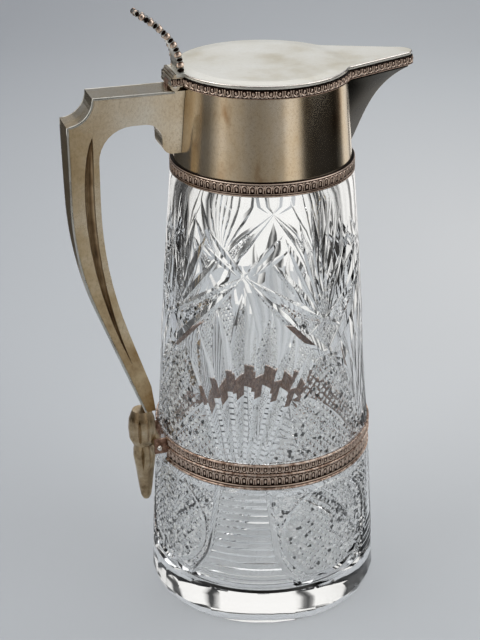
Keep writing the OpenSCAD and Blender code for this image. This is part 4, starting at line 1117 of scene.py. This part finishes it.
def surround():
    """A low ring of dark and light studio cards. The camera and the shadows don't see it; metal and glass do."""
    mat, nt, _, L, co = node_tree("studio_cards")
    nt.nodes.remove(nt.nodes["Principled BSDF"])
    em = add(nt, "ShaderNodeEmission", _Strength=1.0)
    L(em.outputs[0], nt.nodes["Material Output"].inputs["Surface"])
    sep = add(nt, "ShaderNodeSeparateXYZ")
    L(co, sep.inputs[0])
    az = calc(nt, "ARCTAN2", sep.outputs["X"], calc(nt, "MULTIPLY", sep.outputs["Y"], -1.0))
    unit = calc(nt, "MULTIPLY_ADD", az, 0.5 / math.pi, 0.5)
    # One ramp holds 32 colours at most, so the ring is painted by two.
    stops = [(a / 360 + 0.5, (v, v * 0.985, v * 0.96)) for a, v in CARDS]
    left = ramp(nt, unit, stops[:CARD_SPLIT + 1] + [(1.0, (0, 0, 0))])
    right = ramp(nt, unit, [(0.0, (0, 0, 0))] + stops[CARD_SPLIT:])
    both = add(nt, "ShaderNodeMix", data_type="RGBA")
    L(calc(nt, "GREATER_THAN", unit, stops[CARD_SPLIT][0]), both.inputs["Factor"])
    L(left.outputs[0], both.inputs["A"])
    L(right.outputs[0], both.inputs["B"])
    L(both.outputs["Result"], em.inputs["Color"])
    n, rad, low, top = 160, 0.30, 0.05, 0.25
    verts = [(rad * math.cos(a), rad * math.sin(a), z) for a in [2 * math.pi * i / n for i in range(n)]
             for z in (low, top)]
    me = bpy.data.meshes.new("surround")
    me.from_pydata(verts, [], [(2 * i, 2 * j, 2 * j + 1, 2 * i + 1) for i, j in zip(range(n), [*range(1, n), 0])])
    ob = new_object("surround", me, mat)
    ob.rotation_euler = (0, 0, -AZ)
    ob.visible_camera = ob.visible_shadow = ob.visible_diffuse = False


# Azimuth from the camera's side, to the right, and the card's lightness there.
CARDS = [(-180, 1.0), (-169, 1.0), (-167, 0.05), (-165, 0.05), (-163, 1.0), (-148, 0.9), (-145, 0.04), (-132, 0.05),
         (-116, 0.07), (-84, 0.10), (-66, 0.14), (-57, 0.45), (-49, 0.80), (-40, 0.55), (-28, 0.42), (-15, 0.27),
         (0, 0.28), (14, 0.36), (24, 0.45), (31, 0.95), (42, 0.85), (48, 0.30), (52, 0.04), (66, 0.008),
         (104, 0.008), (114, 0.10), (122, 1.0), (139, 0.9), (142, 0.05), (146, 0.05), (149, 1.0), (161, 1.0),
         (163, 0.04), (165, 0.05), (167, 1.0), (180, 1.0)]
CARD_SPLIT = 18
surround()


def light(name, loc, target, size, energy, color=(1, 1, 1)):
    d = bpy.data.lights.new(name, "AREA")
    d.shape = "RECTANGLE"
    d.size, d.size_y = size
    d.energy = energy
    d.color = color
    o = bpy.data.objects.new(name, d)
    bpy.context.scene.collection.objects.link(o)
    o.location = loc
    o.rotation_euler = (Vector(target) - Vector(loc)).to_track_quat("-Z", "Y").to_euler()


def around(az, dist, z):
    """A place at azimuth az degrees to the right of the camera's side."""
    a = math.radians(az) - AZ - math.pi / 2
    return (dist * math.cos(a), dist * math.sin(a), z)


light("key", around(-75, 1.5, 1.1), (0, 0, 0.16), (1.4, 1.5), 9, (1, 0.99, 0.97))
light("fill", around(80, 1.5, 0.8), (0, 0, 0.16), (1.2, 1.5), 6, (0.98, 0.99, 1))
light("top", around(180, 0.9, 1.5), (0, 0, 0.2), (2.0, 1.4), 9)

world = bpy.data.worlds.new("studio")
bpy.context.scene.world = world
world.use_nodes = True
wt = world.node_tree
bg = wt.nodes["Background"]
wc = add(wt, "ShaderNodeTexCoord")
front = add(wt, "ShaderNodeVectorMath", operation="DOT_PRODUCT")
front.inputs[1].default_value = (-0.94 * math.sin(AZ), -0.94 * math.cos(AZ), 0.34)
wt.links.new(wc.outputs["Generated"], front.inputs[0])
wr = ramp(wt, front.outputs["Value"], [(0.0, lin(246, 248, 250)), (0.70, lin(240, 241, 242)), (0.82, lin(90, 88, 84)),
                                       (1.0, lin(40, 38, 36))])
wt.links.new(wr.outputs[0], bg.inputs["Color"])
bg.inputs["Strength"].default_value = 1.0

bpy.context.scene.view_settings.view_transform = "Standard"
